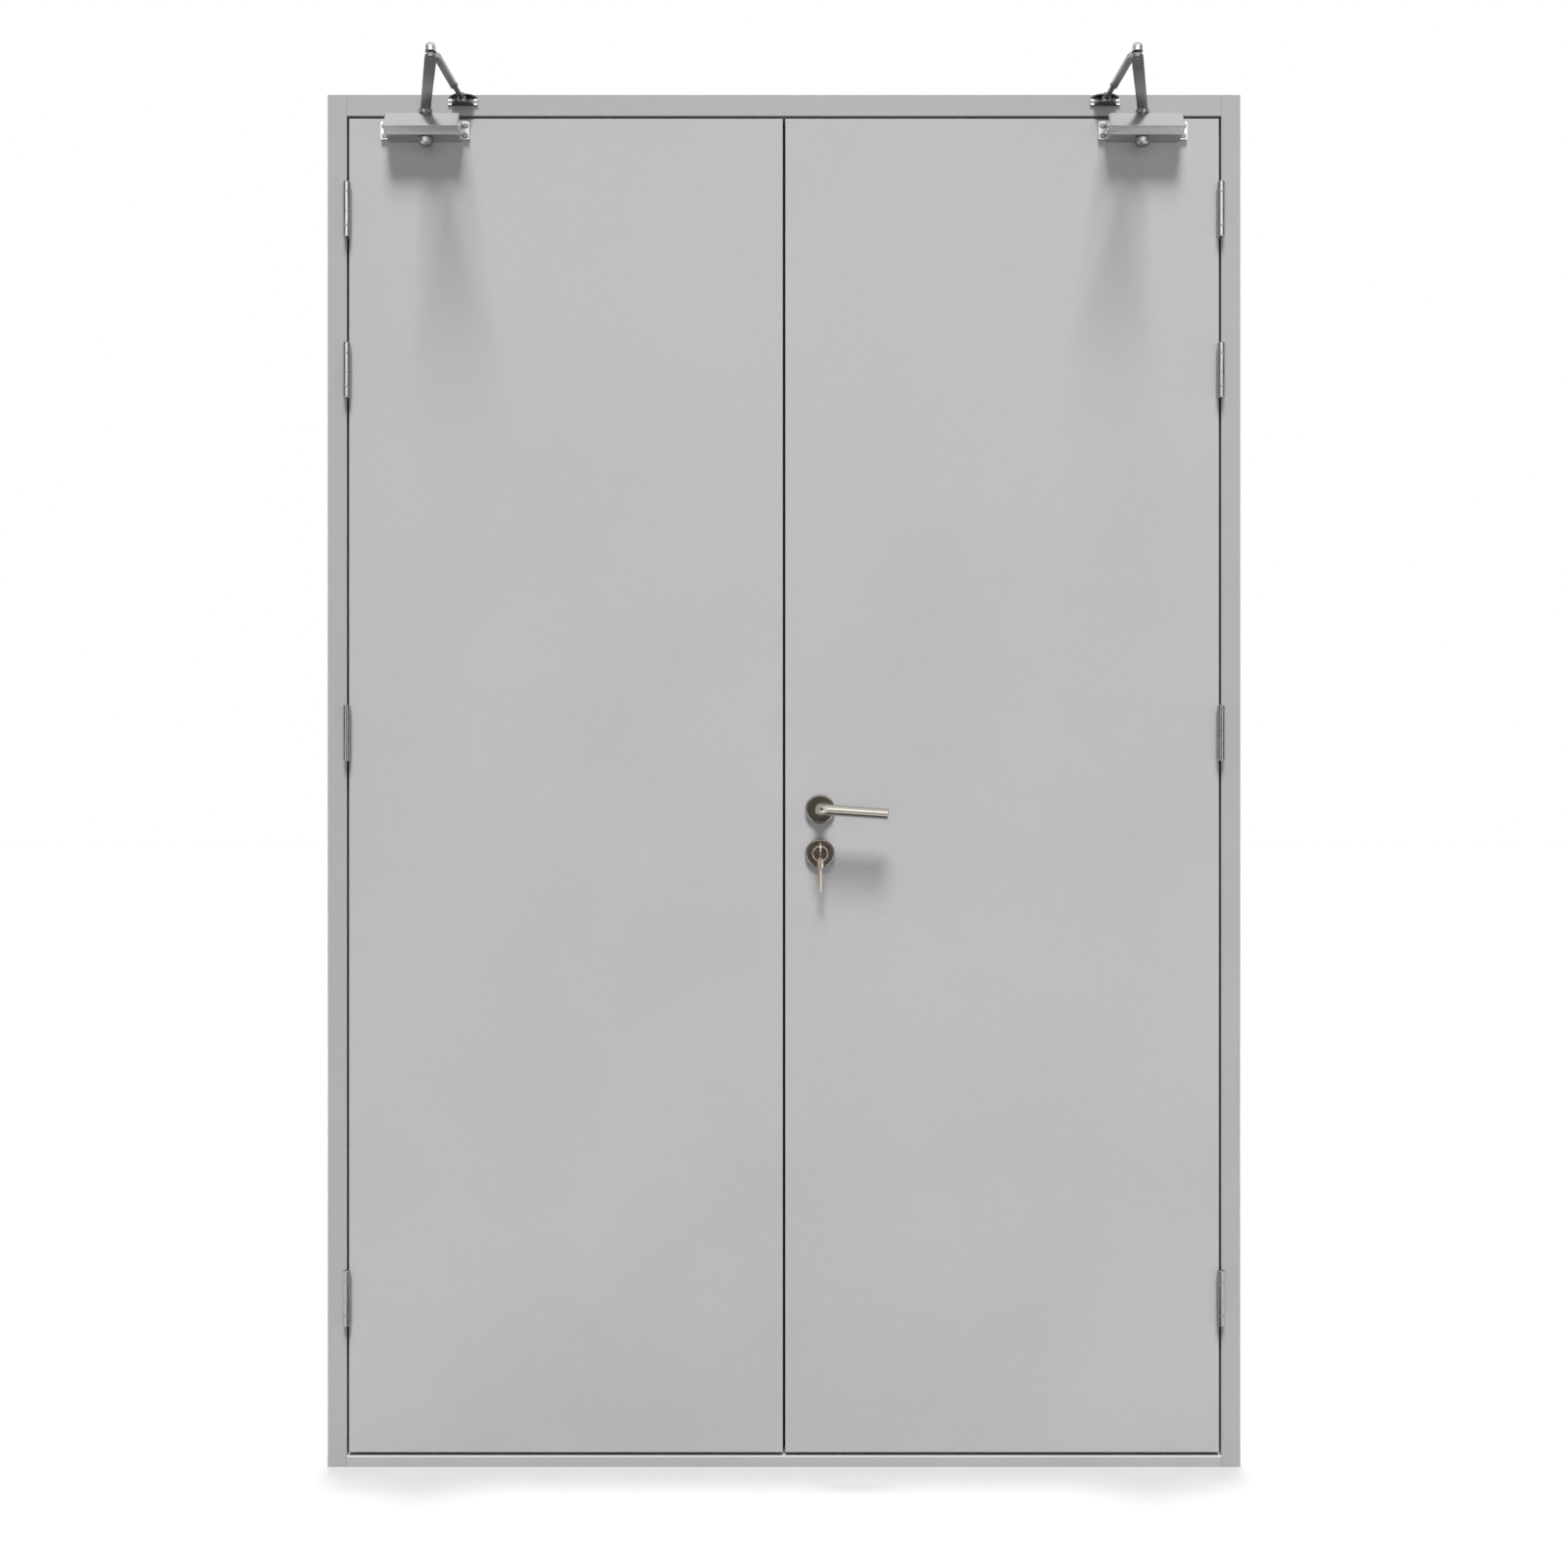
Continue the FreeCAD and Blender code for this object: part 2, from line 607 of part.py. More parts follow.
def leaf_outline(sketch, inner_start, inner_end, near, far, outer):
    """Plan of a leaf piece whose meeting edge leans back from near to far."""
    return outline(sketch, [
        (outer, near), ("-(%s)" % inner_start, near), ("-(%s)" % inner_end, far), (outer, far),
    ])


def make_front_skin():
    skin = new_body("leaf_pan")
    plan = sketch_on(skin, "XY_Plane", "leaf_low")
    leaf_outline(plan, "leaf_inner", "leaf_inner + meeting_bevel", "0", "leaf_thickness", "-leaf_outer")
    solid = pad(skin, plan, "leaf_tall")

    def at_front(middle):
        return abs(middle.y) < CLOSE

    rounded = round_edges(skin, solid, "skin_radius", at_front)
    doc.recompute()
    hollow = sketch_on(skin, "XY_Plane", "skin_low")
    leaf_outline(hollow, "inner_front", "inner_edge", "skin_steel", "leaf_thickness",
                 "-leaf_outer + skin_steel")
    before = rounded.Shape.Volume
    hollowed = pocket(skin, hollow, "skin_tall", reverse=True)
    doc.recompute()
    assert hollowed.Shape.Volume < before / 2
    return skin


def make_back_skin():
    skin = new_body("leaf_back")
    plan = sketch_on(skin, "XY_Plane", "skin_low")
    leaf_outline(plan, "inner_back", "inner_edge", "leaf_thickness - skin_steel", "leaf_thickness",
                 "-leaf_outer + skin_steel")
    pad(skin, plan, "skin_tall")
    return skin


def make_core():
    core = new_body("leaf_filling")
    plan = sketch_on(core, "XY_Plane", "skin_low")
    leaf_outline(plan, "inner_front", "inner_back", "skin_steel", "leaf_thickness - skin_steel",
                 "-leaf_outer + skin_steel")
    pad(core, plan, "skin_tall")
    return core


def edge_plate(label, side, low, length):
    """A plate let into the edge of a leaf; side is -1 for the left leaf."""
    start = "edge_depth" if side > 0 else "-edge_depth - faceplate_thickness"
    return block(label, ("faceplate_thickness", "faceplate_width", length),
                 (start, "plate_near", low))


def edge_recess(label, side, low, length):
    """The room that a plate in a leaf's edge needs."""
    start = "0" if side > 0 else "-edge_depth - faceplate_thickness"
    return block(label, ("edge_depth + faceplate_thickness", "faceplate_width", length),
                 (start, "plate_near", low))


flush_low = "leaf_low + flush_bolt_inset"
flush_high = "leaf_high - flush_bolt_inset - flush_bolt_length"
strike = keep(edge_plate("lock_strike", -1, "strike_low", "strike_length"))
flush_bolts = keep(group(
    "flush_bolt_plates",
    edge_plate("flush_bolt_lower", -1, flush_low, "flush_bolt_length"),
    edge_plate("flush_bolt_upper", -1, flush_high, "flush_bolt_length"),
))
faceplate = keep(edge_plate("lock_faceplate", 1, "faceplate_low", "faceplate_length"))

left_recesses = join(
    "left_recesses",
    edge_recess("strike_recess", -1, "strike_low", "strike_length"),
    edge_recess("flush_recess_lower", -1, flush_low, "flush_bolt_length"),
    edge_recess("flush_recess_upper", -1, flush_high, "flush_bolt_length"),
)


def cylinder_shape(label, grow, front, length):
    """The lock cylinder's section, round above and narrow below, run through."""
    across = "lever_axis"
    drop = "plug_axis - tab_drop"
    return join(
        label,
        rod(label + "_round", "cylinder_radius" + grow, length, (across, front, "plug_axis"), ALONG_Y),
        rod(label + "_foot", "cylinder_tab / 2" + grow, length, (across, front, drop), ALONG_Y),
        block(label + "_web", ("cylinder_tab + 2 * (0%s)" % grow, length, "tab_drop"),
              ("lever_axis - cylinder_tab / 2 - (0%s)" % grow, front, drop)),
    )


lock_holes = join(
    "lock_holes",
    rod("spindle_bore", "spindle_hole", "leaf_thickness", ("lever_axis", "0", "lever_height"), ALONG_Y),
    cylinder_shape("cylinder_bore", " + cylinder_clearance", "-cylinder_front", "cylinder_length"),
    edge_recess("faceplate_recess", 1, "faceplate_low", "faceplate_length"),
)

LEAF_PIECES = {
    "front_skin": make_front_skin(),
    "back_skin": make_back_skin(),
    "core": make_core(),
}
for piece_name, base in LEAF_PIECES.items():
    keep(cut("left_leaf_" + piece_name, base, left_recesses))
    other = mirrored("right_base_" + piece_name, base)
    keep(cut("right_leaf_" + piece_name, other, lock_holes))


def make_meeting_seal():
    """A dark rubber strip between the leaves, fixed to the left leaf's edge."""
    seal = new_body("meeting_seal")
    plan = sketch_on(seal, "XY_Plane", "leaf_low + meeting_seal_short")
    near = "meeting_seal_depth"
    far = "(meeting_seal_depth + meeting_seal_width)"
    outline(plan, [
        ("-leaf_inner - bevel_rate * " + near, near), ("meeting_seal_reach", near),
        ("meeting_seal_reach", far), ("-leaf_inner - bevel_rate * " + far, far),
    ])
    pad(seal, plan, "leaf_tall - 2 * meeting_seal_short")
    return seal


keep(make_meeting_seal())


# Hinges: a lower knuckle with the pin on the frame, an upper one on the leaf.

def make_knuckle(label, on_frame):
    knuckle = new_body(label, "-hinge_axis", "-hinge_proud")
    section = sketch_on(knuckle, "XZ_Plane")
    edge = "barrel_radius - barrel_cap"
    waist = "barrel_radius - barrel_groove"
    if on_frame:
        groove = "-half_barrel + groove_inset"
        outline(section, [
            ("0", "-half_barrel"), (edge, "-half_barrel"),
            ("barrel_radius", "-half_barrel + barrel_cap"),
            ("barrel_radius", groove + " - barrel_groove"), (waist, groove),
            ("barrel_radius", groove + " + barrel_groove"),
            ("barrel_radius", "split"), ("pin_radius", "split"),
            ("pin_radius", "split + pin_length"), ("0", "split + pin_length"),
        ])
    else:
        groove = "half_barrel - groove_inset"
        bore = "pin_radius + pin_clearance"
        outline(section, [
            (bore, "split + knuckle_gap"), ("barrel_radius", "split + knuckle_gap"),
            ("barrel_radius", groove + " - barrel_groove"), (waist, groove),
            ("barrel_radius", groove + " + barrel_groove"),
            ("barrel_radius", "half_barrel - barrel_cap"), (edge, "half_barrel"),
            ("0", "half_barrel"), ("0", "split + pin_length + knuckle_gap"),
            (bore, "split + pin_length + knuckle_gap"),
        ])
    turned(knuckle, section)
    near = "-wing_outer" if on_frame else "leaf_plate - wing_thickness"
    far = "-wing_play" if on_frame else "leaf_plate"
    low = "-half_barrel" if on_frame else "split + knuckle_gap"
    tall = "frame_knuckle" if on_frame else "half_barrel - split - knuckle_gap"
    neck = sketch_on(knuckle, "XY_Plane", low + " + barrel_cap")
    outline(neck, [(near, "wing_root"), (far, "wing_root"), (far, "hinge_proud"), (near, "hinge_proud")])
    pad(knuckle, neck, tall + " - 2 * barrel_cap")
    plate = sketch_on(knuckle, "XY_Plane", "-half_barrel")
    outline(plate, [
        (near, "hinge_proud"), (far, "hinge_proud"),
        (far, "hinge_proud + wing_depth"), (near, "hinge_proud + wing_depth"),
    ])
    pad(knuckle, plate, "hinge_length")
    return knuckle


def hinge_set(label, source):
    """The same hinge half at each of the four heights."""
    copies = []
    for height in ("lowest_hinge", "lower_hinge", "upper_hinge", "highest_hinge"):
        link = doc.addObject("App::Link", label + "_" + height)
        link.LinkedObject = source
        copies.append(place(link, "-hinge_axis", "-hinge_proud", height))
    return group(label, *copies)


keep_pair(hinge_set("left_frame_hinges", make_knuckle("frame_half", True)), "frame_hinges")
keep_pair(hinge_set("left_leaf_hinges", make_knuckle("leaf_half", False)), "leaf_hinges")


# Closers: cast housing with two flanges, pinion, main arm, forearm and shoe.

def make_housing():
    housing = new_body("left_closer_housing", "-closer_centre", "0", "closer_base")
    section = sketch_on(housing, "YZ_Plane")
    outline(section, [
        ("0", "0"), ("-closer_front", "0"), ("-closer_proud", "closer_ridge"),
        ("-closer_front", "closer_shoulder"), ("-closer_top", "closer_height"),
        ("0", "closer_height"),
    ])
    solid = pad(housing, section, "closer_length", both_ways=True)
    half = number("closer_length") / 2

    def at_end(middle):
        return abs(abs(middle.x) - half) < CLOSE and middle.y < -CLOSE

    round_edges(housing, solid, "closer_rounding", at_end)
    flanges = sketch_on(housing, "XZ_Plane")
    reach = "closer_length / 2 + flange_width"
    root = "closer_length / 2 - closer_rounding"
    top = "flange_lift + flange_height"
    outline(flanges, [
        (root, "flange_lift"), (reach, "flange_lift"), (reach, top), (root, top),
    ])
    outline(flanges, [
        ("-(%s)" % reach, "flange_lift"), ("-(%s)" % root, "flange_lift"),
        ("-(%s)" % root, top), ("-(%s)" % reach, top),
    ])
    solid = pad(housing, flanges, "flange_thickness")
    outer = half + number("flange_width")
    heights = [number("flange_lift"), number(top)]

    def at_corner(middle):
        return (abs(abs(middle.x) - outer) < CLOSE
                and min(abs(middle.z - height) for height in heights) < CLOSE)

    round_edges(housing, solid, "flange_rounding", at_corner)
    plugs = circle(sketch_on(housing, "YZ_Plane"), "end_plug_radius", "-end_plug_forward", "end_plug_height")
    pad(housing, plugs, "closer_length + 2 * end_plug_proud", both_ways=True)
    shaft = sketch_on(housing, "XY_Plane")
    circle(shaft, "pinion_radius + pinion_clearance", "pinion_offset", "-pinion_proud")
    pocket_through(housing, shaft)
    return housing


def make_pinion():
    """Pinion shaft with a cap below and a collar above the housing."""
    pinion = new_body("left_closer_pinion", "-pinion_axis", "-pinion_proud", "closer_base")
    section = sketch_on(pinion, "XZ_Plane")
    above = "closer_height + pinion_end_gap"
    outline(section, [
        ("0", "-cap_depth"), ("cap_radius - 2 * cap_edge", "-cap_depth"),
        ("cap_radius - cap_edge", "-cap_depth + cap_crown"),
        ("cap_radius", "-cap_depth + cap_crown + cap_edge"),
        ("cap_radius", "-cap_foot - pinion_end_gap"),
        ("cap_radius - cap_foot", "-pinion_end_gap"),
        ("pinion_radius", "-pinion_end_gap"), ("pinion_radius", above),
        ("collar_radius", above), ("collar_radius", above + " + collar_height"),
        ("0", above + " + collar_height"),
    ])
    turned(pinion, section)
    return pinion


def arm_frame(label, start, angle):
    """A body that lies along an arm, from its pivot."""
    body = new_body(label, *start)
    body.Placement.Rotation = FreeCAD.Rotation(FreeCAD.Vector(0, 0, 1), number(angle))
    return bind(body, Placement__Rotation__Angle=angle)


def make_main_arm():
    """A flat bar with a step up beside the pinion and a cone under the elbow."""
    start = ("-pinion_axis", "-pinion_proud", "arm_base")
    plan = arm_frame("main_arm_plan", start, "arm_angle")
    deep = "arm_rise + arm_thickness"
    for radius, across in (("arm_small_radius", "0"), ("arm_large_radius", "arm_length")):
        pad(plan, circle(sketch_on(plan, "XY_Plane"), radius, across), deep)
    taper = sketch_on(plan, "XY_Plane")
    outline(taper, [
        ("0", "-arm_small_radius"), ("arm_length", "-arm_large_radius"),
        ("arm_length", "arm_large_radius"), ("0", "arm_small_radius"),
    ])
    pad(plan, taper, deep)
    side = arm_frame("main_arm_side", start, "arm_angle")
    section = sketch_on(side, "XZ_Plane")
    after = "arm_bend_start + arm_bend_length"
    far = "arm_length + 2 * arm_large_radius"
    outline(section, [
        ("-2 * arm_small_radius", "0"), ("arm_bend_start", "0"), (after, "arm_rise"),
        (far, "arm_rise"), (far, deep), (after, deep), ("arm_bend_start", "arm_thickness"),
        ("-2 * arm_small_radius", "arm_thickness"),
    ])
    pad(side, section, "arm_margin", both_ways=True)
    bar = common("main_arm_bar", plan, side)
    boss = new_body("main_arm_boss", "-elbow_x", "-elbow_y", "boss_base")
    cone = sketch_on(boss, "XZ_Plane")
    outline(cone, [
        ("0", "-arm_thickness / 2"), ("boss_tip", "-arm_thickness / 2"), ("boss_tip", "0"),
        ("boss_radius", "0"), ("boss_tip", "boss_height"), ("0", "boss_height"),
    ])
    turned(boss, cone)
    return join("left_main_arm", bar, boss)


def make_forearm():
    """A flat bar from the elbow, stepped up to the level of the shoe."""
    start = ("-shoe_axis", "-shoe_proud", "elbow_base")
    plan = arm_frame("forearm_plan", start, "forearm_angle")
    deep = "forearm_rise + forearm_height"
    bar = sketch_on(plan, "XY_Plane")
    outline(bar, [
        ("rod_length", "-forearm_width / 2"), ("forearm_length", "-forearm_width / 2"),
        ("forearm_length", "forearm_width / 2"), ("rod_length", "forearm_width / 2"),
    ])
    pad(plan, bar, deep)
    pad(plan, circle(sketch_on(plan, "XY_Plane"), "elbow_radius", "forearm_length"), deep)
    side = arm_frame("forearm_side", start, "forearm_angle")
    section = sketch_on(side, "XZ_Plane")
    step = "forearm_length - forearm_bend_start"
    after = step + " - forearm_bend_length"
    far = "forearm_length + 2 * elbow_radius"
    outline(section, [
        ("rod_length", "forearm_rise"), (after, "forearm_rise"), (step, "0"), (far, "0"),
        (far, "forearm_height"), (step, "forearm_height"), (after, deep), ("rod_length", deep),
    ])
    pad(side, section, "arm_margin", both_ways=True)
    return common("left_forearm", plan, side)


def make_elbow_cap():
    """The domed cap over the elbow joint, on the forearm."""
    cap = new_body("left_elbow_cap", "-elbow_x", "-elbow_y", "elbow_base + forearm_height")
    section = sketch_on(cap, "XZ_Plane")
    outline(section, [
        ("0", "0"), ("elbow_radius", "0"),
        ("elbow_radius - elbow_taper", "elbow_cap - elbow_edge"),
        ("elbow_radius - elbow_taper - elbow_edge", "elbow_cap"), ("0", "elbow_cap"),
    ])
    turned(cap, section)
    return cap


def make_adjusting_rod():
    """The rod between the forearm and the shoe, with an eye on the shoe's pin."""
    body = arm_frame("left_adjusting_rod", ("-shoe_axis", "-shoe_proud", "forearm_base"),
                     "forearm_angle")
    pad(body, circle(sketch_on(body, "XY_Plane"), "eye_radius"), "forearm_height")
    bar = sketch_on(body, "YZ_Plane", "rod_start")
    circle(bar, "rod_radius", "0", "rod_radius + rod_lift")
    pad(body, bar, "rod_length - rod_start")
    hole = circle(sketch_on(body, "XY_Plane"), "shoe_pin_radius + shoe_pin_clearance")
    pocket_through(body, hole)
    return body


def make_shoe():
    """Bracket on the frame's head: plate with two ears, shelf, lid and pin."""
    shoe = new_body("left_closer_shoe", "-shoe_axis", "0", "shoe_base")
    plate = sketch_on(shoe, "XZ_Plane")
    half = "shoe_length / 2"
    top = "lid_lift + lid_thickness"
    outline(plate, [
        ("-" + half, "0"), (half, "0"), (half, "shoe_ear"), ("shoe_shoulder", "shoe_ear"),
        ("shoe_shoulder", top), ("-shoe_shoulder", top), ("-shoe_shoulder", "shoe_ear"),
        ("-" + half, "shoe_ear"),
    ])
    pad(shoe, plate, "shoe_plate")
    for radius, reach, lift, thickness in (
        ("shelf_radius", "shelf_reach", "0", "shoe_plate"),
        ("lid_radius", "lid_reach", "lid_lift", "lid_thickness"),
    ):
        front = sketch_on(shoe, "XY_Plane", lift)
        circle(front, radius, "0", "%s - %s" % (radius, reach))
        pad(shoe, front, thickness)
    behind_plate = sketch_on(shoe, "XY_Plane")
    outline(behind_plate, [
        ("-shoe_length", "0"), ("shoe_length", "0"),
        ("shoe_length", "2 * lid_radius"), ("-shoe_length", "2 * lid_radius"),
    ])
    pocket_through(shoe, behind_plate)
    pin = sketch_on(shoe, "XY_Plane", "shoe_plate - elbow_gap")
    circle(pin, "shoe_pin_radius", "0", "-shoe_proud")
    pad(shoe, pin, "lid_lift + 2 * elbow_gap - shoe_plate")
    head = circle(sketch_on(shoe, "XY_Plane", top), "shoe_pin_head", "0", "-shoe_proud")
    pad(shoe, head, "shoe_pin_head_height")
    return shoe


for maker, closer_piece in (
    (make_housing, "closer_housing"),
    (make_pinion, "closer_pinion"),
    (make_main_arm, "main_arm"),
    (make_forearm, "forearm"),
    (make_elbow_cap, "elbow_cap"),
    (make_adjusting_rod, "adjusting_rod"),
    (make_shoe, "closer_shoe"),
):
    keep_pair(maker(), closer_piece)


# Lever set: a bent tube on each face, joined by a square spindle.

def make_lever():
    lever = new_body("front_lever", "lever_axis", "0", "lever_height")
    lever.Placement.Rotation = FreeCAD.Rotation(FreeCAD.Vector(0, 1, 0), number("lever_droop"))
    bind(lever, Placement__Rotation__Angle="lever_droop")
    path = sketch_on(lever, "XY_Plane")
    corner = FreeCAD.Vector(number("lever_bend"), -number("lever_reach - lever_bend"), 0)
    turn = Part.ArcOfCircle(
        Part.Circle(corner, FreeCAD.Vector(0, 0, 1), number("lever_bend")),
        FreeCAD.Units.Quantity("180 deg").getValueAs("rad").Value,
        FreeCAD.Units.Quantity("270 deg").getValueAs("rad").Value,
    )
    start = FreeCAD.Vector(0, -number("neck_start"), 0)
    bend_start = FreeCAD.Vector(0, corner.y, 0)
    bend_end = FreeCAD.Vector(corner.x, -number("lever_reach"), 0)
    tip = FreeCAD.Vector(number("lever_length"), -number("lever_reach"), 0)
    path.addGeometry([Part.LineSegment(start, bend_start), turn, Part.LineSegment(bend_end, tip)], False)
    path.addConstraint([
        Sketcher.Constraint("Coincident", 0, 2, 1, 1),
        Sketcher.Constraint("Coincident", 1, 2, 2, 1),
    ])
    fix_point(path, 0, 1, "0", "-neck_start")
    fix_point(path, 1, 3, "lever_bend", "-(lever_reach - lever_bend)")
    fix_point(path, 1, 1, "0", "-(lever_reach - lever_bend)")
    held = path.addConstraint(Sketcher.Constraint("DistanceX", -1, 1, 1, 2, number("lever_bend")))
    path.setExpression("Constraints[%d]" % held, formula("lever_bend"))
    fix_point(path, 2, 2, "lever_length", "-lever_reach")
    ring = circle(sketch_on(lever, "XZ_Plane", "neck_start"), "lever_radius")
    pipe = lever.newObject("PartDesign::AdditivePipe", "lever_tube")
    pipe.Profile = ring
    pipe.Spine = (path, ["Edge1", "Edge2", "Edge3"])
    doc.recompute()
    length = number("lever_length")

    def at_tip(middle):
        return abs(middle.x - length) < CLOSE

    round_edges(lever, pipe, "lever_rounding", at_tip)
    return lever


def make_rosette(label, up, hole):
    """A round cover plate on the leaf's face with a chamfered rim."""
    disc = new_body(label + "_disc", "lever_axis", "0", up)
    plate = circle(sketch_on(disc, "XZ_Plane"), "rosette_radius")
    solid = pad(disc, plate, "rosette_thickness")
    doc.recompute()
    thickness = number("rosette_thickness")

    def at_rim(middle):
        return abs(middle.y + thickness) < CLOSE

    round_edges(disc, solid, "rosette_edge", at_rim, "Chamfer")
    return cut(label, disc, hole)


neck_hole = rod("neck_hole", "lever_radius + neck_clearance", "2 * rosette_thickness",
                ("lever_axis", "-rosette_thickness", "lever_height"), ALONG_Y)
cylinder_hole = cylinder_shape("rosette_hole", " + cylinder_clearance", "-cylinder_front", "cylinder_front")
lever = keep(make_lever())
keep(behind("back_lever", lever))
keep(block("lever_spindle", ("spindle_width", "leaf_thickness + 2 * neck_start", "spindle_width"),
           ("lever_axis - spindle_width / 2", "-neck_start", "lever_height - spindle_width / 2")))
for rosette_name, up, hole in (
    ("lever_rosette", "lever_height", neck_hole),
    ("key_rosette", "rosette_low", cylinder_hole),
):
    front = keep(make_rosette("front_" + rosette_name, up, hole))
    keep(behind("back_" + rosette_name, front))


# Lock cylinder with its plug, the key in it, the ring and the spare key.

cylinder = cylinder_shape("cylinder_body", "", "-cylinder_front", "cylinder_length")
plug_bore = rod("plug_bore", "plug_radius + plug_clearance", "plug_length",
                ("lever_axis", "-cylinder_front", "plug_axis"), ALONG_Y)
keep(cut("lock_cylinder", cylinder, plug_bore))
plug = rod("plug_round", "plug_radius", "plug_length", ("lever_axis", "-cylinder_front", "plug_axis"), ALONG_Y)
keyway = block("keyway", ("keyway_width", "keyway_depth", "keyway_height"),
               ("lever_axis - keyway_width / 2", "-cylinder_front", "plug_axis - keyway_height / 2"))
keep(cut("cylinder_plug", plug, keyway))


# The depths of the cuts in a key's blade, from the tip, in steps.
CUT_CODES = (2, 3, 1, 3, 2)


def make_key():
    """The key in the lock: blade, neck and round bow in one upright plane."""
    key = new_body("inserted_key", "lever_axis", "0", "plug_axis")
    shape = sketch_on(key, "YZ_Plane")
    outline(shape, [
        ("-cylinder_front + blade_inside", "-blade_height / 2"),
        ("-cylinder_front + blade_inside", "blade_height / 2"),
        ("-shoulder_out", "blade_height / 2"), ("-shoulder_out", "neck_height / 2"),
        ("-bow_out", "neck_height / 2"), ("-bow_out", "-neck_height / 2"),
        ("-shoulder_out", "-neck_height / 2"), ("-shoulder_out", "-blade_height / 2"),
    ])
    pad(key, shape, "key_thickness", both_ways=True)
    bow = circle(sketch_on(key, "YZ_Plane"), "bow_radius", "-bow_out")
    pad(key, bow, "key_thickness", both_ways=True)
    hole = circle(sketch_on(key, "YZ_Plane"), "bow_hole", "-bow_out - bow_hole_offset")
    pocket_through(key, hole)
    return key


def make_spare_key():
    """The second key, cut to fit the lock, hanging from the ring by its bow."""
    key = new_body("hanging_key", "lever_axis", "-ring_out", "plug_axis - spare_hole_drop")
    key.Placement.Rotation = FreeCAD.Rotation(FreeCAD.Vector(0, 0, 1), number("spare_turn"))
    bind(key, Placement__Rotation__Angle="spare_turn")
    low = "-bow_hole_offset"
    bow = circle(sketch_on(key, "YZ_Plane"), "bow_radius", "0", low)
    pad(key, bow, "key_thickness", both_ways=True)
    blade = sketch_on(key, "YZ_Plane")
    tip = low + " - bow_radius - spare_blade"
    edge = "blade_height / 2"
    cuts = [(edge, tip + " + blade_height / 2")]
    for place_on_blade, code in enumerate(CUT_CODES, start=1):
        middle = "%s + blade_height / 2 + %d * cut_step" % (tip, place_on_blade)
        cuts += [
            (edge, middle + " - cut_step / 2 + cut_depth / 4"),
            ("%s - %d * cut_depth" % (edge, code), middle + " - cut_depth / 2"),
            ("%s - %d * cut_depth" % (edge, code), middle + " + cut_depth / 2"),
            (edge, middle + " + cut_step / 2"),
        ]
    outline(blade, [("-" + edge, low), (edge, low)] + cuts[::-1] + [
        ("0", tip), ("-" + edge, tip + " + blade_height / 2"),
    ])
    pad(key, blade, "key_thickness", both_ways=True)
    hole = circle(sketch_on(key, "YZ_Plane"), "bow_hole")
    pocket_through(key, hole)
    return key


key_ring = doc.addObject("Part::Torus", "key_ring")
key_ring.Placement.Rotation = ALONG_Y
bind(key_ring, Radius1="ring_radius", Radius2="ring_wire")
place(key_ring, "lever_axis", "-ring_out", "plug_axis - ring_drop")
keep(make_key())
keep(key_ring)
keep(make_spare_key())

doc.recompute()

for item in doc.Objects:
    if "Invalid" in item.State or "Error" in item.State:
        raise RuntimeError("%s failed: %s" % (item.Name, item.State))
for node in nodes:
    if node.Shape.isNull() or not node.Shape.isValid():
        raise RuntimeError("%s has no valid shape" % node.Label)

os.makedirs("parts", exist_ok=True)
for node in nodes:
    node.Shape.exportStep("parts/%s.step" % node.Label)
print("%d sub-parts written" % len(nodes))
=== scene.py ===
import math

import bmesh
import bpy
from mathutils import Matrix, Vector


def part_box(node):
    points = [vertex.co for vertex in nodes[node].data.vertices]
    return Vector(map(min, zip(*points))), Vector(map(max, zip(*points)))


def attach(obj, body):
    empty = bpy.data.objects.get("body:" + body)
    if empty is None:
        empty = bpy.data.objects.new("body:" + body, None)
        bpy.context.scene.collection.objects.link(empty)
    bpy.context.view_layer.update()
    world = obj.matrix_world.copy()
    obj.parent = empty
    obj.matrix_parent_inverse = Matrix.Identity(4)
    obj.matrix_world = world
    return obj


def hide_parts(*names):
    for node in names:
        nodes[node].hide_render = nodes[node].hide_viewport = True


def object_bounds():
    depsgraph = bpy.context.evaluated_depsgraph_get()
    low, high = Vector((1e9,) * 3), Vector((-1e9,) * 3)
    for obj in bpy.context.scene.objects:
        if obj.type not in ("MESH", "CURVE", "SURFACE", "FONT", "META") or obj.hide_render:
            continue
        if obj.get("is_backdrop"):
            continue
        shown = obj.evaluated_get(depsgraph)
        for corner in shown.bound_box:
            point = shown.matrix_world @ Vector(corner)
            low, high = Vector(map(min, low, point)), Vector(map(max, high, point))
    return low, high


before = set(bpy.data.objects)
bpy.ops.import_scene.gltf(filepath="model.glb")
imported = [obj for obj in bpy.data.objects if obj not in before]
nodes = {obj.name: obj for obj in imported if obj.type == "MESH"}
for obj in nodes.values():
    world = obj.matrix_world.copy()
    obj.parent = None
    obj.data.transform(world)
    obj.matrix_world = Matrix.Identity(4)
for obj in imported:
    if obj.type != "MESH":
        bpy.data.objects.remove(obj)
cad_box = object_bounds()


# The studio: a level camera 2.9 m in front of the frame's face, a pale floor
# and a white surround. Nothing here is part of the door.
SENSOR_MM, AWAY_MM, PHOTO_PIXELS, PIXEL_MM = 36, 2900, 1600, 1.6
scene = bpy.context.scene
scene.view_settings.view_transform = "Standard"
camera = bpy.data.objects.new("camera", bpy.data.cameras.new("camera"))
scene.collection.objects.link(camera)
camera.location = (0, -2.95, 1.115)
camera.rotation_euler = (math.radians(90), 0, 0)
camera.data.sensor_width = SENSOR_MM
camera.data.lens = SENSOR_MM * AWAY_MM / (PHOTO_PIXELS * PIXEL_MM)
scene.camera = camera


